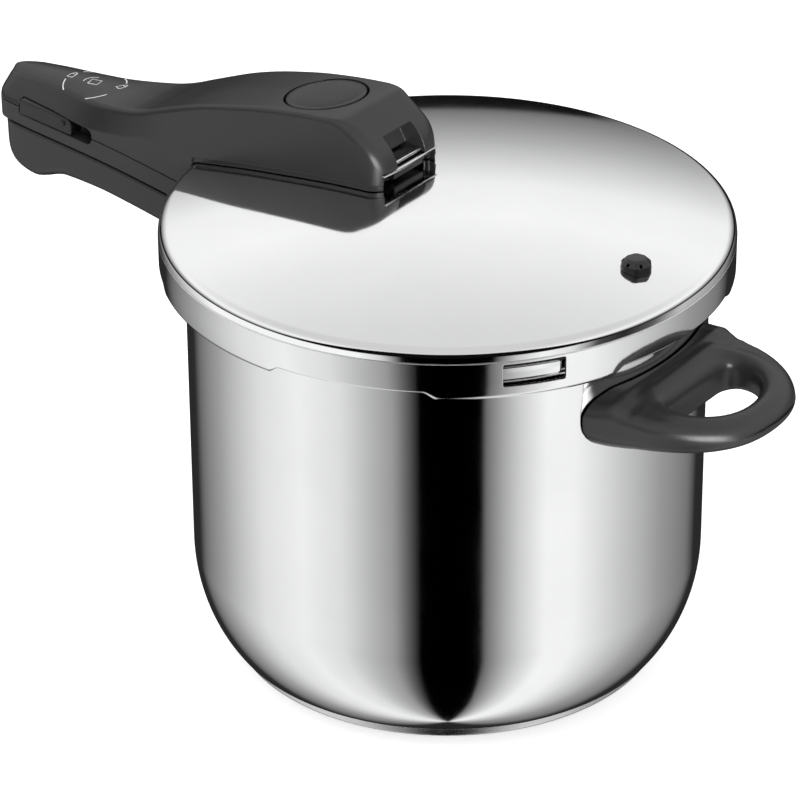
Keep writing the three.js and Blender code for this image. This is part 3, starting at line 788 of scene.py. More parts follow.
GRIP_CROWN = 1.5  # how much lower the grip's top is along its creases than in the middle
CREASE_RISE = 0.35  # how much lower the top is at its creases, all along the handle
NOSE_CORNER = 7.5  # the rounded corners of the head's front in plan


def end_share(x, start, length, power=2.25):
    """Half-width share of a rounded end, 0 at start and 1 a length further on."""
    away = 1 - min(max((x - start) / length, 0.0), 1.0)
    return (1 - away**power) ** (1 / power)


def grip_crown(x):
    return GRIP_CROWN * ease((-x - 165) / 25)


def handle_ring(x, low, inset=0.0):
    """The handle's section at one place along it, from its bottom over its top and down again."""
    plan = max(end_share(x, HANDLE_END, END_LENGTH), 0.02)
    roll = 1 - end_share(x, HANDLE_END, END_ROLL, 2)
    nose = 1 - end_share(-x, -HANDLE_FRONT, NOSE_CORNER, 2)
    top = top_curve(x) - END_DROP * roll - inset
    base = max(base_curve(x) * plan - NOSE_CORNER * nose - inset, 0.3)
    crease = max(crease_curve(x) * plan - NOSE_CORNER * nose - 0.6 * inset, 0.2)
    shelf = max(seam_height(x), min(top - 14, dome_height(min(-x, SHOULDER_R)))) + 2
    soft_end = 1.6 * (1 - ease((x - HANDLE_END) / 22))
    soft_nose = 3.2 * ease((x + 48) / 16)
    edge = 2.4 + 0.8 * ease((-x - 110) / 20) + soft_end + soft_nose
    half = rounded(
        [(base, low), (base, shelf), (crease + 0.3, top), (0, top + CREASE_RISE)],
        [0, 5, edge, 0],
        steps=9,
    )
    middle = half.pop()
    start = half[-1]
    half += [(start[0] * (1 - i / 6), start[1] + (middle[1] - start[1]) * i / 6) for i in range(1, 7)]
    crown = grip_crown(x)
    crowned = []
    for y, z in half:
        rise = min(max((z - shelf) / (top - shelf), 0), 1)
        crowned.append((y, z - crown * rise * min(y / crease, 1) ** 2))
    return [(x, y, z) for y, z in crowned] + [(x, -y, z) for y, z in reversed(crowned[:-1])]


def handle_stations():
    """Places along the handle, closer together at its rounded end, its front face and its nose."""
    ends = [HANDLE_END + END_LENGTH * (1 - math.cos(math.pi / 2 * i / 14)) for i in range(14)]
    grip = np.arange(HANDLE_END + END_LENGTH, -46, 1.6)
    face = np.linspace(-46, HANDLE_FRONT - NOSE_CORNER, 26, endpoint=False)
    nose = [HANDLE_FRONT - NOSE_CORNER * (1 - math.sin(math.pi / 2 * i / 16)) for i in range(17)]
    return [*ends, *grip, *face, *nose]


def handle_form(inset=0.0):
    """The whole handle as one solid, which its shells are cut from."""
    return grid([handle_ring(x, 150, inset) for x in handle_stations()])


def handle_hollow(inset):
    """The hollow inside the handle, which ends behind the head's front and short of the grip's end."""
    stations = [*np.arange(-232, -46, 3), -44]
    return grid([handle_ring(x, 150 - inset, inset) for x in stations])


def slab(outline, half):
    """An outline in the XZ plane, as thick to the left as to the right."""
    return prism(outline, across, -half, half)


def box(back, front, low, high, half):
    return slab(rectangle(back, low, front, high), half)


def seam_side(raise_by, far=260):
    """The space between a plane parallel to the seam and a level plane far above or below it."""
    ends = [(x, seam_height(x) + raise_by) for x in (-260, -10)]
    return slab([*ends, (-10, far), (-260, far)], 60)


def column(radius, low, high, x=0.0, y=0.0, segments=48):
    return lathe(rectangle(0, low, radius, high), segments, x, y)


# Screws: place, height of the head and of the tip, and for the last two the thread's radius.
SHELL_SCREWS = [
    ("handle_screw_rear", -230.5, 0, 179.4, 192),
    ("handle_screw_left", -136, 12.6, 171.6, 190),
    ("handle_screw_right", -136, -12.6, 171.6, 190),
]
POT_SCREW = (-130, 0, 151.3, 156, 2)
SIDE_SCREW = (118.6, 0, 137.5, 143, 1.8)
THREAD_R = 1.7
SCREW_HEAD = 2.4  # how thick a screw's head is
SCREW_HEAD_SHARE = 1.9  # how much wider the head is than the thread


def screw_way(x, y, head, top, radius=THREAD_R, grow=0.3):
    """The stepped hole that a screw goes up from below."""
    wide = radius * SCREW_HEAD_SHARE + grow
    narrow = radius + grow
    step = head + SCREW_HEAD + grow
    profile = [(0, head - 12), (wide, head - 12), (wide, step), (narrow, step)]
    profile += [(narrow, top + grow), (0, top + grow)]
    return lathe(profile, 32, x, y)


def slot_way(side_low, side_high, high=SLOT_HIGH):
    """The slider's slot along the grip, square behind and round in front."""
    corners = rectangle(SLOT_BACK, SLOT_LOW, SLOT_FRONT, high)
    outline = rounded(corners, [0.8, 3.6, 3.6, 0.8], 8, True)
    return on_grip(prism(outline, across, side_low, side_high))


def make_upper_shell():
    """The long handle's upper half: a hollow shell with screw posts, the indicator's well and a lip."""
    shell = make_piece("upper_grip", handle_form(), plastic)
    cut(shell, handle_hollow(SHELL_WALL))
    posts = [column(3.8, 150, 240, x, y) for _, x, y, _, _ in SHELL_SCREWS]
    well_wall = column(WELL_R + 1.6, WELL_FLOOR, 240, INDICATOR_X, 0, 96)
    for made in [*posts, well_wall]:
        post = tool(made)
        keep(post, handle_form(0.6))
        combine(shell, post, "UNION")
    step_in = tool(lid_space(2.9, 180))
    cut(step_in, handle_form(0.7))
    keep(step_in, box(-119, -10, 100, 260, 60))
    combine(shell, step_in, "DIFFERENCE")
    recess = [(-32.5, 219), (-27.5, 210.0), (-10, 210.0), (-10, 236), (-28.6, 221.4)]
    cut(
        shell,
        column(WELL_R, WELL_FLOOR + 1.4, 240, INDICATOR_X, 0, 96),
        column(4, 190, 240, INDICATOR_X),
        slot_way(-40, 40),
        box(-46, -21.6, 190, 210.2, 17.6),
        box(-23, -10, 190, 210.6, 18.3),
        box(-41, -10, 210, 212.9, 9.8),
        slab(rounded(recess, [1.2, 0, 0, 0, 0], 4), 9.8),
        lid_space(0.4),
        *[screw_way(*row[1:]) for row in SHELL_SCREWS],
    )
    keep(shell, seam_side(0.25))
    finish_piece(shell, "lid", ["lid_handle_upper_shell"], 30)
    return shell


def lid_sheet(low, high):
    """A sheet that lies on the dome between two heights above it."""
    inner = [(0, dome_height(0) + low), *reversed(dome_curve(low)[:-1])]
    return lathe([*inner, *dome_curve(high)], 180)


def make_lower_shell():
    """The thin lower half: a skin under the grip, and inside it the core that the slider straddles."""
    shell = make_piece("lower_grip", handle_form(), plastic)
    keep(shell, seam_side(-0.25, far=100))
    keep(shell, seam_side(-LOWER_SHELL))
    cut(shell, box(-124.6, 0, 100, 260, 60))

    core = rectangle(-24, -6, 31, 1.4)
    add(shell, on_grip(prism(core, across, -CORE_HALF, CORE_HALF)))
    riser = tool(box(-131, -124.6, 150, 195.2, 16))
    ledge = tool(box(-131, -104, 191.8, 194.6, 16.9))
    plate = tool(lid_sheet(0.5, 3.2))
    keep(plate, box(-131, -47, 150, 240, 17))
    for part in (riser, ledge, plate):
        keep(part, handle_hollow(SHELL_WALL + 0.4))
        keep(part, seam_side(-LOWER_SHELL))
    cut(ledge, lid_space(0.5))
    for part in (riser, ledge, plate):
        combine(shell, part, "UNION")
    near = CORE_HALF + 0.1
    channel = rectangle(-23.5, -3.4, 30, 10)
    cut(
        shell,
        slot_way(near, 40, high=20),
        slot_way(-40, -near, high=20),
        on_grip(prism(channel, across, -3.2, 3.2)),
        column(11.4, 180, 230, INDICATOR_X),
        column(LID_R + 0.9, 150, 190, 0, 0, 240),
        *[screw_way(*row[1:]) for row in SHELL_SCREWS],
        *[column(4.1, seam_height(x) - 0.3, 240, x, y) for _, x, y, _, _ in SHELL_SCREWS[1:]],
    )
    finish_piece(shell, "lid", ["lid_handle_lower_shell"], 30)
    return shell


# ---- Pot handle --------------------------------------------------------------------------------

GRIP_END = -238.2
GRIP_UNDERSIDE = [
    (-238.2, 172), (-236.6, 166), (-233.8, 161), (-230.4, 157.6), (-224, 154), (-217, 152.6),
    (-211, 154.1), (-205, 156.3), (-199, 157.5), (-184, 157), (-160, 154.6), (-135, 151.6),
    (-105, 147.6),
]
underside_curve = smooth_curve(*zip(*GRIP_UNDERSIDE))


def pot_grip_ring(x):
    """The pot handle's section at one place along it."""
    top = seam_height(x) - LOWER_SHELL - HANDLE_GAP
    half = base_curve(min(x, -118)) * max(end_share(x, GRIP_END, 12), 0.02)
    bottom = min(underside_curve(x), top - 2)
    side = rounded(
        [(0, top), (half, top), (half - 0.4, bottom), (0, bottom)],
        [0, 1.2, 7.5, 0],
        steps=8,
    )
    return [(x, y, z) for y, z in side] + [(x, -y, z) for y, z in reversed(side[1:-1])]


def bracket_space(side, tongue_end, low, high, half_angle, grow):
    """The plate on the wall and its tongue, as a pair of solids."""
    inner = POT_R + 0.4 - grow
    outer = POT_R + 2.0 + grow
    middle = 0 if side > 0 else math.pi
    spread = math.radians(half_angle + grow)
    steps = 10
    turn = [middle - spread + 2 * spread * i / steps for i in range(steps + 1)]
    outline = [(inner * math.cos(a), inner * math.sin(a)) for a in turn]
    outline += [(outer * math.cos(a), outer * math.sin(a)) for a in reversed(turn)]
    near, far = sorted((side * (POT_R + 1), side * (tongue_end + grow)))
    mid = (low + high) / 2
    tongue = rectangle(near, -7 - grow, far, 7 + grow)
    return [
        prism(outline, upwards, low - grow, high + grow),
        prism(tongue, upwards, mid - 1.5 - grow, mid + 1.5 + grow),
    ]


def make_pot_grip():
    """The long lower handle, cut out for the pot, the lid, its bracket and screw, and a side pocket."""
    stations = [GRIP_END + 17 * (1 - math.cos(math.pi / 2 * i / 26)) for i in range(26)]
    stations += list(np.arange(GRIP_END + 17, -105, 1.8))
    grip = make_piece("pot_grip", grid([pot_grip_ring(x) for x in stations]), plastic)
    pocket = rounded(rectangle(-134, 164, -126, 175), 1.6, 4, True)
    cut(
        grip,
        column(POT_R + 0.7, 100, 165.6, 0, 0, 300),
        column(LID_R + 1.6, 165.5, 200, 0, 0, 300),
        prism(pocket, across, -40, -13),
        *bracket_space(-1, 142, 152, 164, 9, 0.4),
        screw_way(*POT_SCREW, 0.4),
    )
    finish_piece(grip, "pot", ["pot_handle"], 30)
    return grip


# ---- Side handle -------------------------------------------------------------------------------


def bezier(start, *controls, steps=40):
    """Points of one Bezier curve, without its first point."""
    ends = [Vector(start), *[Vector(c) for c in controls]]
    out = []
    for i in range(1, steps + 1):
        row = ends
        while len(row) > 1:
            row = [a.lerp(b, i / steps) for a, b in zip(row, row[1:])]
        out.append(tuple(row[0]))
    return out


def side_outline():
    """Half of the loop's outside in plan, from the wall to the tip."""
    start = (math.sqrt((POT_R + 0.7) ** 2 - SIDE_HALF**2), SIDE_HALF)
    half = [start]
    half += bezier(start, (108, SIDE_HALF), (117, 43.4), (131, 42.5), steps=20)
    half += bezier((131, 42.5), (150, 38), (SIDE_TIP, 24), (SIDE_TIP, 0))
    return half


def hole_outline():
    """Half of the finger hole in plan, from its back to its front."""
    side, end = (HOLE_BACK, HOLE_HALF - 6), (HOLE_BACK + 6, HOLE_HALF)
    corner = bezier(side, (HOLE_BACK, HOLE_HALF), end, steps=14)
    front = bezier(end, (144, HOLE_HALF), (HOLE_FRONT, 14), (HOLE_FRONT, 0))
    return [(HOLE_BACK, 0), side, *corner, *front]


SIDE_TOP = smooth_curve(
    [100, 113, 117, 121, 126, 131, 136, 142, 150, 158, 163, 167],
    [156.6, 156.6, 155.4, 153.2, 151.7, 151.3, 151.2, 151.0, 150.6, 149.8, 148.6, 146.8],
)
SIDE_BOTTOM = smooth_curve(
    [100, 108, 117, 124, 134, 152, 162, 167], [131.4, 131.6, 133.2, 135.2, 137.4, 138.6, 139.4, 140.6]
)


def from_line(points, line):
    """Distance of each point to a polyline."""
    start = line[:-1]
    step = np.diff(line, axis=0)
    rel = points[:, None, :] - start[None]
    share = np.clip((rel * step).sum(2) / (step**2).sum(1), 0, 1)
    return np.sqrt(((rel - share[..., None] * step) ** 2).sum(2)).min(1)


def dense(line):
    """A polyline with a point at least every 0.8 mm or so."""
    out = []
    for a, b in zip(line, line[1:]):
        a, b = np.array(a), np.array(b)
        count = max(1, int(np.linalg.norm(b - a) / 0.8))
        out += [a + (b - a) * i / count for i in range(count)]
    return np.array(out + [np.array(line[-1])])


def rolled(distance, radius):
    """How far a face falls near its edge, where the edge is rolled over with a radius."""
    away = radius - min(distance, radius)
    return radius - math.sqrt(max(radius * radius - away * away, 0))


def side_heights(x, y, edge, inner):
    """The loop's top and bottom at one spot, which is this far from its outside and from its hole."""
    near_wall = ease((128 - x) / 24)
    crest = 0.9 * math.exp(-(((inner - 6.5) / 3.4) ** 2))
    scoop = ease((inner - 8) / 6) * ease((x - 113) / 4) * ease((124 - x) / 5)
    high = SIDE_TOP(x) + crest - scoop
    high -= rolled(edge, 5.0 + 1.6 * near_wall) + rolled(inner, 4.4)
    high -= 3.8 * ease((abs(y) - 31) / 16) * near_wall
    under_round = 5.6 + 6.4 * ease((136 - x) / 32)
    low = SIDE_BOTTOM(x) + rolled(edge, under_round) + rolled(inner, 3.6)
    return max(high, low + 0.2), low


def make_side_grip():
    """A ring of sections round the finger hole, with a crest, a scoop and rolled edges."""
    outer_half = side_outline()
    outer = outer_half + [(x, -y) for x, y in reversed(outer_half[:-1])]
    wall_x, wall_y = outer_half[0]
    corner = math.atan2(wall_y, wall_x)
    wall = [
        ((POT_R + 0.7) * math.cos(a), (POT_R + 0.7) * math.sin(a))
        for a in np.linspace(-corner, corner, 60)[1:]
    ]
    hole_half = hole_outline()
    hole = hole_half + [(x, -y) for x, y in reversed(hole_half[1:-1])]
    centre = np.array([139.0, 0.0])

    def reach(line, angles):
        rel = dense(line + [line[0]]) - centre
        turn = np.arctan2(rel[:, 1], rel[:, 0])
        order = np.argsort(turn)
        return np.interp(angles, turn[order], np.hypot(*rel.T)[order], period=2 * math.pi)

    turn = math.atan2(wall_y, wall_x - centre[0])
    corners = np.linspace(turn - 0.03, turn + 0.3, 34)
    all_round = np.linspace(-math.pi, math.pi, 240, endpoint=False)
    angles = np.sort(np.concatenate([all_round, corners, -corners]))
    out_r = reach(outer + wall, angles)
    in_r = reach(hole, angles)
    unit = np.stack([np.cos(angles), np.sin(angles)], 1)
    outer_line = dense(outer)
    hole_line = dense(hole + [hole[0]])
    columns = []
    for share in 0.5 - 0.5 * np.cos(np.linspace(0, math.pi, 31)):
        radius = out_r + (in_r - out_r) * share
        spot = centre + unit * radius[:, None]
        columns.append((spot, from_line(spot, outer_line), from_line(spot, hole_line)))

    rings = []
    for i in range(len(angles)):
        upper, lower = [], []
        for spot, to_edge, to_hole in columns:
            x, y = spot[i]
            high, low = side_heights(x, y, to_edge[i], to_hole[i])
            upper.append((x, y, high))
            lower.append((x, y, low))
        rings.append(upper + lower[::-1])
    grip = make_piece("side_grip", grid(rings, loop=True), plastic)
    cut(grip, *bracket_space(1, 121, 139, 151, 8, 0.4), screw_way(*SIDE_SCREW, 0.4))
    finish_piece(grip, "pot", ["side_handle"], 30)
    return grip


# ---- Pot ---------------------------------------------------------------------------------------

LUGS = [(centre, LUG_HALF) for centre, _ in LOBES]


def pot_profile(degrees):
    """The pot's wall, floor and rim at one angle, outside upwards and inside down."""
    lug = share_at(degrees, LUGS, 1.2)
    flange = POT_R + 2.6 + (LUG_R - POT_R - 2.6) * lug
    lip = RIM_Z - 2.6 + (LUG_Z - RIM_Z + 2.6) * lug
    corner = arc(POT_R - CORNER_WIDTH, CORNER_Z, CORNER_WIDTH, CORNER_HEIGHT, -44.5, 0, 24)
    inside = arc(
        POT_R - CORNER_WIDTH, CORNER_Z + 0.6, CORNER_WIDTH - WALL, CORNER_HEIGHT - 0.6, 0, -44, 24
    )
    rim = rounded(
        [
            (POT_R, RIM_Z - 8), (POT_R, RIM_Z - 2.3), (flange - 1.4, RIM_Z - 2.3),
            (flange - 1.4, lip), (flange, lip), (flange, RIM_Z), (POT_R - WALL, RIM_Z),
            (POT_R - WALL, RIM_Z - 6),
        ],
        [0, 1.0, 0.4, 0.3, 0.3, 0.9, 0.5, 0],
        steps=4,
    )
    below = [(0, FLOOR_Z), (BASE_R, FLOOR_Z), (BASE_R + 1.9, FLOOR_Z + 0.2)]
    above = [(BASE_R + 0.6, FLOOR_Z + WALL + 0.15), (BASE_R - 1.5, FLOOR_Z + WALL), (0, FLOOR_Z + WALL)]
    return [*below, *corner, *rim, *inside, *above]


def make_pot():
    pot = make_piece("pot_wall", turned_by_angle(pot_profile, LUGS), steel, 40)
    finish_piece(pot, "pot", ["pot_body"], 40)


def make_base():
    """The steel cap under the pot, with pressed rings in its underside."""
    rings = []
    for r in (30, 52, 74):
        rings += [(r - 1.2, 0), (r - 0.5, 0.35), (r + 0.5, 0.35), (r + 1.2, 0)]
    section = [
        (0, 0),
        *rings,
        (BASE_R - 2.6, 0),
        *arc(BASE_R - 1.3, 1.3, 1.3, 1.3, -80, 0, 6),
        (BASE_R, 4.2), (BASE_R - 0.2, 4.6), (BASE_R - 0.9, 4.7), (BASE_R - 0.9, 1.6),
        (BASE_R - 1.6, 0.9), (0, 0.9),
    ]
    profile = [(r, BASE_Z + z) for r, z in section]
    base = make_piece("base_cap", lathe(profile, 260), base_steel, 40)
    finish_piece(base, "pot", ["base_capsule"], 25)


# ---- Lid ---------------------------------------------------------------------------------------


def lid_profile(degrees):
    """The lid's sheet at one angle: outside from the skirt's edge to the axis, then back inside."""
    lobe = share_at(degrees, LOBES, 3.0)
    edge = SKIRT_Z + (LOBE_Z - SKIRT_Z) * lobe
    turn_in = (LID_R - WALL - HOOK_R) * lobe
    slant = 0.4 + 1.0 * lobe
    rise = 0.6 + 1.0 * lobe
    skirt = rounded(
        [
            (LID_R - WALL - turn_in, edge), (LID_R - slant, edge), (LID_R, edge + rise),
            (LID_R, edge + 8),
        ],
        [0, 0.8, 2.2, 0],
        steps=4,
    )
    inner = rounded(
        [
            (LID_R - WALL, edge + 8), (LID_R - WALL, edge + 1.0 + 1.4 * lobe),
            (LID_R - WALL - slant * lobe, edge + 0.6 + 0.6 * lobe),
            (LID_R - WALL - turn_in, edge + 0.3 + 0.9 * lobe),
        ],
        [0, 1.4, 0.5, 0],
        steps=4,
    )
    groove = [(LID_R, 184.7), (LID_R - 0.3, 184.95), (LID_R - 0.3, 185.0), (LID_R, 185.25)]
    return [
        *skirt,
        *groove,
        *shoulder(0),
        *dome_curve(0)[1:],
        *reversed(dome_curve(-WALL)[1:]),
        *reversed(shoulder(-WALL)),
        *inner,
    ]


def window_way():
    """The viewing slot in the skirt, with rounded corners, as a solid that follows the skirt."""
    half = math.radians(WINDOW["half"]) * LID_R
    middle = math.radians(WINDOW["angle"])
    low, high = WINDOW["low"], WINDOW["high"]
    outline = rounded(rectangle(-half, low, half, high), 1.0, 5, True)

    def bent(a, b, radius):
        turn = middle + a / LID_R
        return (radius * math.cos(turn), radius * math.sin(turn), b)

    return prism(fine_outline(outline), bent, 119, 128)


def make_lid():
    lid = make_piece("lid_dome", turned_by_angle(lid_profile, LOBES), steel, 40)
    cut(
        lid,
        window_way(),
        column(7.5, 180, 215, INDICATOR_X),
        column(4.3, 180, 205, VALVE_X, VALVE_Y),
    )
    finish_piece(lid, "lid", ["lid_shell"], 35)


def make_seal():
    profile = rounded(
        [
            (111.4, RIM_Z + 0.4), (118.6, RIM_Z + 0.4), (119.6, RIM_Z + 2), (119.6, RIM_Z + 6),
            (117, RIM_Z + 7.6), (115.6, RIM_Z + 6.6), (113.6, RIM_Z + 7.0), (112, RIM_Z + 8.4),
            (110.8, RIM_Z + 7.4), (110.8, RIM_Z + 1.6),
        ],
        [0.6, 0.6, 1, 1, 0.8, 0.8, 0.8, 0.6, 0.8, 0.8],
        4,
        True,
    )
    seal = make_piece("seal_ring", lathe(profile, 240), grey_rubber, 40)
    finish_piece(seal, "ring", ["sealing_ring"], 40)


# ---- Front of the head -------------------------------------------------------------------------


def make_front_frame():
    """A steel frame round the mouth: a thin bowed lip, set-back legs and a foot on the lid."""
    half, lip_low, lip_high = 18.7, 209.3, 210.1

    def bowed(y, z, x):
        return (x + 1.2 * (1 - (y / half) ** 2), y, z)

    corners = rectangle(-half, lip_low, half, lip_high)
    lip = fine_outline(rounded(corners, 0.3, 4, True))
    frame_plate = make_piece("front_frame", prism(lip, bowed, -21.0, -19.3), bright_steel)
    foot = tool(lid_sheet(0.3, 1.2))
    keep(foot, box(-42, -26.5, 190, 215, 17.2))
    add(frame_plate, box(-26, -20.4, lip_low + 0.1, lip_high - 0.1, 17.2))
    combine(frame_plate, foot, "UNION")
    for side in (-1, 1):
        near, far = sorted((side * 16.2, side * 17.2))
        outline = rectangle(-28, near, -24.4, far)
        leg = tool(prism(outline, upwards, 198, lip_high - 0.3))
        cut(leg, lid_space(0.5))
        combine(frame_plate, leg, "UNION")
    finish_piece(frame_plate, "lid", ["lid_front_bracket"], 30)


def make_front_hook():
    """The hook block that locks the handle's front, with a rounded nose."""
    corners = rectangle(-44, 204.9, -20.4, 208.8)
    outline = rounded(corners, [0.4, 0.6, 1.5, 0.4], 6, True)
    hook = make_piece("hook_block", slab(outline, 10.3), dark_plastic)
    soften(hook, 0.35, 2, 50)
    finish_piece(hook, "lid", ["front_hook"], 30)


def make_hook_plate():
    """A steel leaf under the recess, with a thicker rolled front edge."""
    half = 9.5
    outline = rectangle(-40, -half, -22.6, half)
    plate = make_piece("hook_leaf", prism(outline, upwards, 210.9, 211.9), bright_steel)
    soften(plate, 0.3, 2)
    bead = rounded(rectangle(-23.4, 210.4, -20.9, 212.2), 0.8, 5, True)
    add(plate, slab(bead, half))
    finish_piece(plate, "lid", ["front_hook_plate"], 40)


# ---- Fasteners ---------------------------------------------------------------------------------


def make_screw(name, body, x, y, head, top, radius=THREAD_R):
    """A pan-head screw with a cross recess and a thread, point up."""
    crown = radius * SCREW_HEAD_SHARE
    step = head + SCREW_HEAD
    pitch = 0.8
    profile = [(0, head), *arc(crown - 0.9, head + 0.9, 0.9, 0.9, -90, 0, 5), (crown, step)]
    profile += [(radius * 0.86, step)]
    z = head + 2.9
    while z + pitch < top - 0.6:
        profile += [(radius * 0.86, z), (radius, z + pitch * 0.45), (radius * 0.86, z + pitch * 0.9)]
        z += pitch
    profile += [(radius * 0.7, top - 0.5), (0, top)]
    screw = make_piece(name + "_fine", lathe(profile, 40, x, y), screw_steel)
    for turn in (0, math.pi / 2):
        c, s = math.cos(turn + 0.4), math.sin(turn + 0.4)
        long, thin = crown * 0.6, 0.35
        bar = rectangle(-long, -thin, long, thin)
        bar = [(x + a * c - b * s, y + a * s + b * c) for a, b in bar]
        cut(screw, prism(bar, upwards, head - 1, head + 1.2))
    finish_piece(screw, body, [name], 30)


# ---- Safety valve ------------------------------------------------------------------------------


def make_valve_cap():
    """A low moulded plug with six soft flats and six side vents."""
    profile = [
        (0, 192), (6.6, 192), (6.6, VALVE_TOP - 3.2),
        *arc(5.6, VALVE_TOP - 3.0, 1.0, 1.0, 10, 50, 4),
        *arc(3.0, VALVE_TOP - 1.4, 1.9, 1.4, 20, 84, 6),
        (0, VALVE_TOP),
    ]
    rings = []
    for radius, z in profile:
        ring = []
        for i in range(96):
            a = 2 * math.pi * i / 96
            flat = (a + VIEW_AZIMUTH * 1.5) % (math.pi / 3) - math.pi / 6
            soft = min(1.0, 0.93 / math.cos(flat))
            ring.append((VALVE_X + radius * soft * math.cos(a), VALVE_Y + radius * soft * math.sin(a), z))
        rings.append(ring)
    cap = make_piece("valve_plug", grid(rings), valve_plastic)
    cut(cap, column(4.1, 190, VALVE_TOP - 1.7, VALVE_X, VALVE_Y), lid_space(0.15))

    for degrees in range(24, 360, 60):
        c, s = math.cos(math.radians(degrees)), math.sin(math.radians(degrees))

        def outwards(x, y, z):
            return (VALVE_X + z * c - y * s, VALVE_Y + z * s + y * c, VALVE_TOP - 2 + x)

        cut(cap, placed(column(0.7, 3.2, 9, segments=20), outwards))
    finish_piece(cap, "lid", ["safety_valve_cap"], 30)


def make_valve_seat():
    """The steel tube through the lid, with its ball and the nut below."""
    top = VALVE_TOP - 2
    seat = [(2.5, 185.2), (3.5, 185.2), (3.8, 185.6), (3.8, top), (1, top), (1, 196), (2.5, 194.5)]
    tube = make_piece("valve_tube", lathe(seat, 48, VALVE_X, VALVE_Y), screw_steel)
    finish_piece(tube, "lid", ["safety_valve_body"], 30)

    corners = [math.radians(60 * i) for i in range(6)]
    hexagon = [(VALVE_X + 6.4 * math.cos(a), VALVE_Y + 6.4 * math.sin(a)) for a in corners]
    nut = make_piece("valve_hex_nut", prism(hexagon, upwards, 186.4, 190.6), screw_steel)
    soften(nut, 0.4, 2)
    cut(nut, column(4.2, 180, 200, VALVE_X, VALVE_Y))
    finish_piece(nut, "lid", ["safety_valve_nut"], 30)

    half_round = arc(0, 191, 2.1, 2.1, -90, 90, 20)
    ball = make_piece("valve_ball_fine", lathe(half_round, 40, VALVE_X, VALVE_Y), bright_steel)
    finish_piece(ball, "lid", ["safety_valve_ball"], 60)


# ---- Pressure indicator ------------------------------------------------------------------------


def tilted(r, angle, z):
    """A point of a disc whose planes fall towards the grip."""
    x = r * math.cos(angle)
    return (INDICATOR_X + x, r * math.sin(angle), z + x * math.tan(INDICATOR_TILT))


def tilted_disc(name, profile, material, node):
    """profile is (radius, height above the top plane) pairs."""
    rings = []
    for i in range(120):
        a = 2 * math.pi * i / 120
        rings.append([tilted(r, a, INDICATOR_Z + z) for r, z in profile])
    piece = make_piece(name, grid(rings, loop=True), material)
    finish_piece(piece, "indicator", [node], 30)


def make_indicator():
    """The button with a shallow dish, two coloured rings, the stem, its spring and the seal below."""
    r = INDICATOR_R
    rim = [(0, -3.2), (r - 0.4, -3.2), (r, -2.8), (r, -0.7), *arc(r - 0.7, -0.7, 0.7, 0.65, 0, 80, 5)]
    dish = [(15.2, 0), (14.2, -0.12), (12, -0.3), (8, -0.42), (4, -0.48), (0, -0.5)]
    tilted_disc("pressure_button", [*rim, *dish], plastic, "indicator_cap")
    band = [(0, -6.6), (16.1, -6.6), (16.4, -6.3), (16.4, -3.8), (16.1, -3.5), (0, -3.5)]
    low_band = [(radius, z - 3.4) for radius, z in band]
    tilted_disc("red_ring", band, red_plastic, "indicator_ring_high")
    tilted_disc("amber_ring", low_band, amber_plastic, "indicator_ring_low")

    thick, waist, collar = 3.2, 2.7, 5.6
    stem = [(0, 189), (1.8, 189), (2.6, 189.8), (thick, 192), (thick, 193.4)]
    stem += [(waist, 193.8), (waist, 195.2), (thick, 195.6), (thick, 199)]
    stem += [(collar - 0.3, 199), (collar, 199.3), (collar, 199.9), (collar - 0.3, 200.2)]
    stem += [(thick, 200.2), (thick, 218.6), (0, 218.6)]
    rod = make_piece("indicator_rod", lathe(stem, 48, INDICATOR_X), screw_steel)
    finish_piece(rod, "indicator", ["indicator_stem"], 30)
    coil = coil_rings(4.5, 200.6, WELL_FLOOR - 0.5 - INDICATOR_RISE, 5)
    upright = placed(coil, lambda x, y, z: (x + INDICATOR_X, y, z))
    spring = make_piece("indicator_coil", upright, spring_steel, 60)
    finish_piece(spring, "indicator", ["indicator_spring"], 40)

    corners = [(7.2, 201.6), (11, 201.6), (11, 204), (10, 206), (7.2, 206)]
    washer = rounded(corners, [0.4, 0.5, 0.8, 0.6, 0.4], 4, True)
    gasket = make_piece("stem_gasket", lathe(washer, 64, INDICATOR_X), grey_rubber)
    finish_piece(gasket, "lid", ["handle_gasket"], 40)


def coil_rings(radius, low, high, turns):
    """A compression spring along Z, with closed end turns."""
    wire = COIL_WIRE
    dead = 0.75
    count = int(turns * 30)
    pitch_low = low + wire
    pitch_high = high - wire
    rings = []
    for i in range(count + 1):
        t = i / count
        angle = t * turns * 2 * math.pi
        inner = min(max((t * turns - dead) / (turns - 2 * dead), 0), 1)
        z = pitch_low + (pitch_high - pitch_low - 4 * wire) * inner
        z += 2 * wire * min(t * turns / dead, 1) + 2 * wire * max(0, (t * turns - turns + dead) / dead)
        ring = []
        for j in range(10):
            around = 2 * math.pi * j / 10
            r = radius + wire * math.cos(around)
            ring.append((r * math.cos(angle), r * math.sin(angle), z + wire * math.sin(around)))
        rings.append(ring)
    return grid(rings)


# ---- Slider ------------------------------------------------------------------------------------


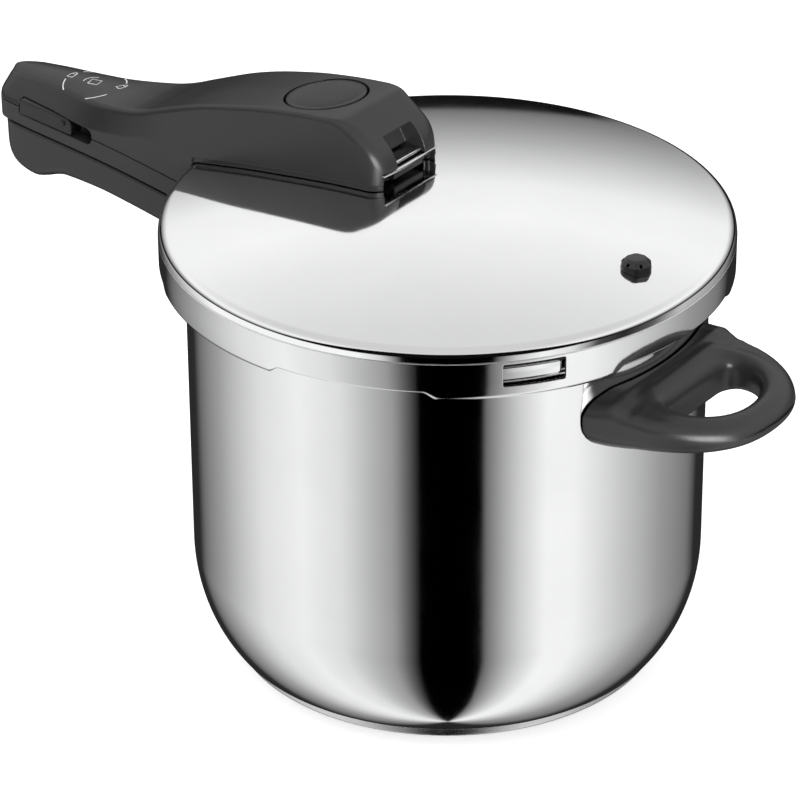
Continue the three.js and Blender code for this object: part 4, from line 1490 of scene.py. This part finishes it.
def make_slider():
    """Two finger grips joined over the core, each with a small round pip near its front."""
    back = SLOT_BACK + 0.5
    front = back + SLIDER_LENGTH
    side, skin = CORE_HALF + 0.5, 19.3
    low, high = SLOT_LOW + 0.15, SLOT_HIGH - 0.4
    bridge = rectangle(back, 1.8, front, high)
    bridge_form = on_grip(prism(bridge, across, -side - 1, side + 1))
    slider = make_piece("slider_grips", bridge_form, slider_plastic)
    corners = rectangle(back, low, front, high)
    face = rounded(corners, [0.5, 1.6, 3.4, 1.2], 6, True)
    dome = lathe([(0, -1.4), *arc(0, 0, 1.7, 0.8, -4, 88, 8), (0, 0.8)], 32)
    for way in (-1, 1):
        near, far = sorted((way * side, way * skin))
        grip = tool(on_grip(prism(face, across, near, far)))
        soften(grip, 0.5, 2, 60)
        combine(slider, grip, "UNION")

        def outwards(x, y, z):
            return (front - 5.2 + x, way * (skin + z), 1.4 + y)

        add(slider, on_grip(placed(dome, outwards)))
    lug = rectangle(front - 3, -2.6, front, 2.4)
    add(slider, on_grip(prism(lug, across, -2.6, 2.6)))
    finish_piece(slider, "slider", ["slider_block"], 30)


def make_slider_spring():
    """The spring between the slider's lug and the front end of the core's channel."""
    front = SLOT_BACK + 0.5 + SLIDER_LENGTH
    coil = coil_rings(2.3, front + 0.4, 29.4 - SLIDER_PUSH, 7)
    along = on_grip(placed(coil, lambda x, y, z: (z, y, x - 0.3)))
    spring = make_piece("slider_coil", along, spring_steel, 60)
    finish_piece(spring, "slider", ["slider_spring"], 40)


def make_locking_bar():
    """A steel strip inside the handle, parallel to the seam and then bent up over the lid."""
    level = [(x, seam_height(x) + 5.6) for x in (-218, -166)]
    line = rounded([*level, (-142, 200.4), (-90, 205.4)], [0, 6, 6, 0], 6)
    outline = [(x, z - 1.2) for x, z in line] + [(x, z + 1.2) for x, z in reversed(line)]
    bar = make_piece("locking_strip", slab(outline, 6), bright_steel)
    soften(bar, 0.25, 2, 50)
    finish_piece(bar, "slider", ["locking_bar"], 30)


# ---- Printed marks -----------------------------------------------------------------------------


def grip_top(x, y):
    """Height of the grip's top face."""
    out = min(abs(y) / crease_curve(x), 1)
    return top_curve(x) + CREASE_RISE * (1 - out) - grip_crown(x) * out**2


def ribbon(line, width):
    """A thin printed line on the grip's top face."""
    sunk, raised = -0.1, 0.13
    rings = []
    for i, (x, y) in enumerate(line):
        before = Vector(line[max(i - 1, 0)])
        after = Vector(line[min(i + 1, len(line) - 1)])
        along = (after - before).normalized()
        side = Vector((-along.y, along.x)) * width / 2
        ring = []
        for sign, lift in ((-1, sunk), (1, sunk), (1, raised), (-1, raised)):
            px, py = x + sign * side.x, y + sign * side.y
            ring.append((px, py, grip_top(px, py) + lift))
        rings.append(ring)
    return grid(rings)


def ring_part(x, y, radius, start, end):
    """Part of a circle, angles in degrees."""
    return arc(x, y, radius, radius, start, end, 24)


def padlock(x, y, size, turn):
    """A small generic padlock: a body with a shackle."""
    c, s = math.cos(turn), math.sin(turn)

    def put(points):
        return [(x + size * (a * c - b * s), y + size * (a * s + b * c)) for a, b in points]

    body = put([(-1, -0.8), (1, -0.8), (1, 0.8), (-1, 0.8), (-1, -0.8)])
    shackle = put([(1, -0.5), (1.5, -0.5), (1.9, -0.3), (2.05, 0), (1.9, 0.3), (1.5, 0.5), (1, 0.5)])
    return [body, shackle]


def make_prints():
    """Open and shut marks round the middle of the grip's top."""
    x, y, radius = -193.5, -0.6, 14.2
    wide, narrow = 0.55, 0.4
    ends = [(196, 232), (132, 152), (292, 332), (30, 60)]
    lines = [ring_part(x, y, radius, *pair) for pair in ends]
    lines += [
        ring_part(x, y, 5.4, 110, 200),
        *padlock(x - 13.4, y, 1.7, math.radians(90)),
        *padlock(x + 13.0, y + 2.4, 1.7, math.radians(70)),
        [(x - 2.2, y - 2.4), (x + 2.6, y - 1.6), (x + 1.8, y + 2.8), (x - 3.0, y + 2.0), (x - 2.2, y - 2.4)],
    ]
    points, faces = [], []
    for i, line in enumerate(lines):
        more, quads = ribbon(line, wide if i < len(ends) else narrow)
        faces += [tuple(corner + len(points) for corner in quad) for quad in quads]
        points += more
    prints = make_piece("grip_marks", (points, faces), ink, 30)
    finish_piece(prints, "lid", [], 30)


# ---- Build -------------------------------------------------------------------------------------

make_camera()
make_studio()
make_floor()
area_light("key", azimuth=-40, elevation=62, size=1.2, power=9)
area_light("fill", azimuth=110, elevation=40, size=1.4, power=5)
bpy.context.scene.view_settings.view_transform = "Standard"

helper_material = bpy.data.materials.new("helper")
steel = polished_steel()
base_steel = turned_steel("base_steel", (0.62, 0.62, 0.63), 0.24)
bright_steel = plain_steel("bright_steel", (0.74, 0.74, 0.75), 0.22)
screw_steel = plain_steel("screw_steel", (0.56, 0.56, 0.57), 0.32)
spring_steel = plain_steel("spring_steel", (0.5, 0.5, 0.52), 0.28)
core_metal = turned_steel("core_aluminium", (0.68, 0.69, 0.7), 0.42)
plastic = moulded_plastic("handle_plastic", (0.013, 0.013, 0.0135), 0.33)
dark_plastic = moulded_plastic("hook_plastic", (0.034, 0.034, 0.034), 0.42)
slider_plastic = moulded_plastic("slider_plastic", (0.017, 0.017, 0.0175), 0.38)
valve_plastic = moulded_plastic("valve_plastic", (0.022, 0.022, 0.023), 0.36)
red_plastic = moulded_plastic("red_plastic", (0.5, 0.045, 0.025), 0.42, wear=0.1)
amber_plastic = moulded_plastic("amber_plastic", (0.68, 0.33, 0.03), 0.42, wear=0.1)
grey_rubber = rubber("grey_silicone", (0.27, 0.28, 0.29), 0.55)
ink = printed_ink()

make_pot()
make_base()
pot_grip = make_pot_grip()
side_grip = make_side_grip()
make_lid()
make_seal()
upper_shell = make_upper_shell()
lower_shell = make_lower_shell()
make_front_frame()
make_front_hook()
make_hook_plate()
for screw_name, *screw_place in SHELL_SCREWS:
    make_screw(screw_name, "lid", *screw_place)
make_screw("pot_handle_screw", "pot", *POT_SCREW)
make_screw("side_handle_screw", "pot", *SIDE_SCREW)
make_valve_cap()
make_valve_seat()
make_indicator()
make_slider()
make_locking_bar()
make_slider_spring()
make_prints()
light_only(
    area_light("edge", azimuth=54, elevation=8, size=1.1, power=70),
    [pot_grip, side_grip, upper_shell, lower_shell],
)

KEPT_NODES = {
    "base_core_disc": core_metal,
    "pot_handle_bracket": bright_steel,
    "side_handle_bracket": bright_steel,
}
for node, material in KEPT_NODES.items():
    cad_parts[node].material_slots[0].material = material
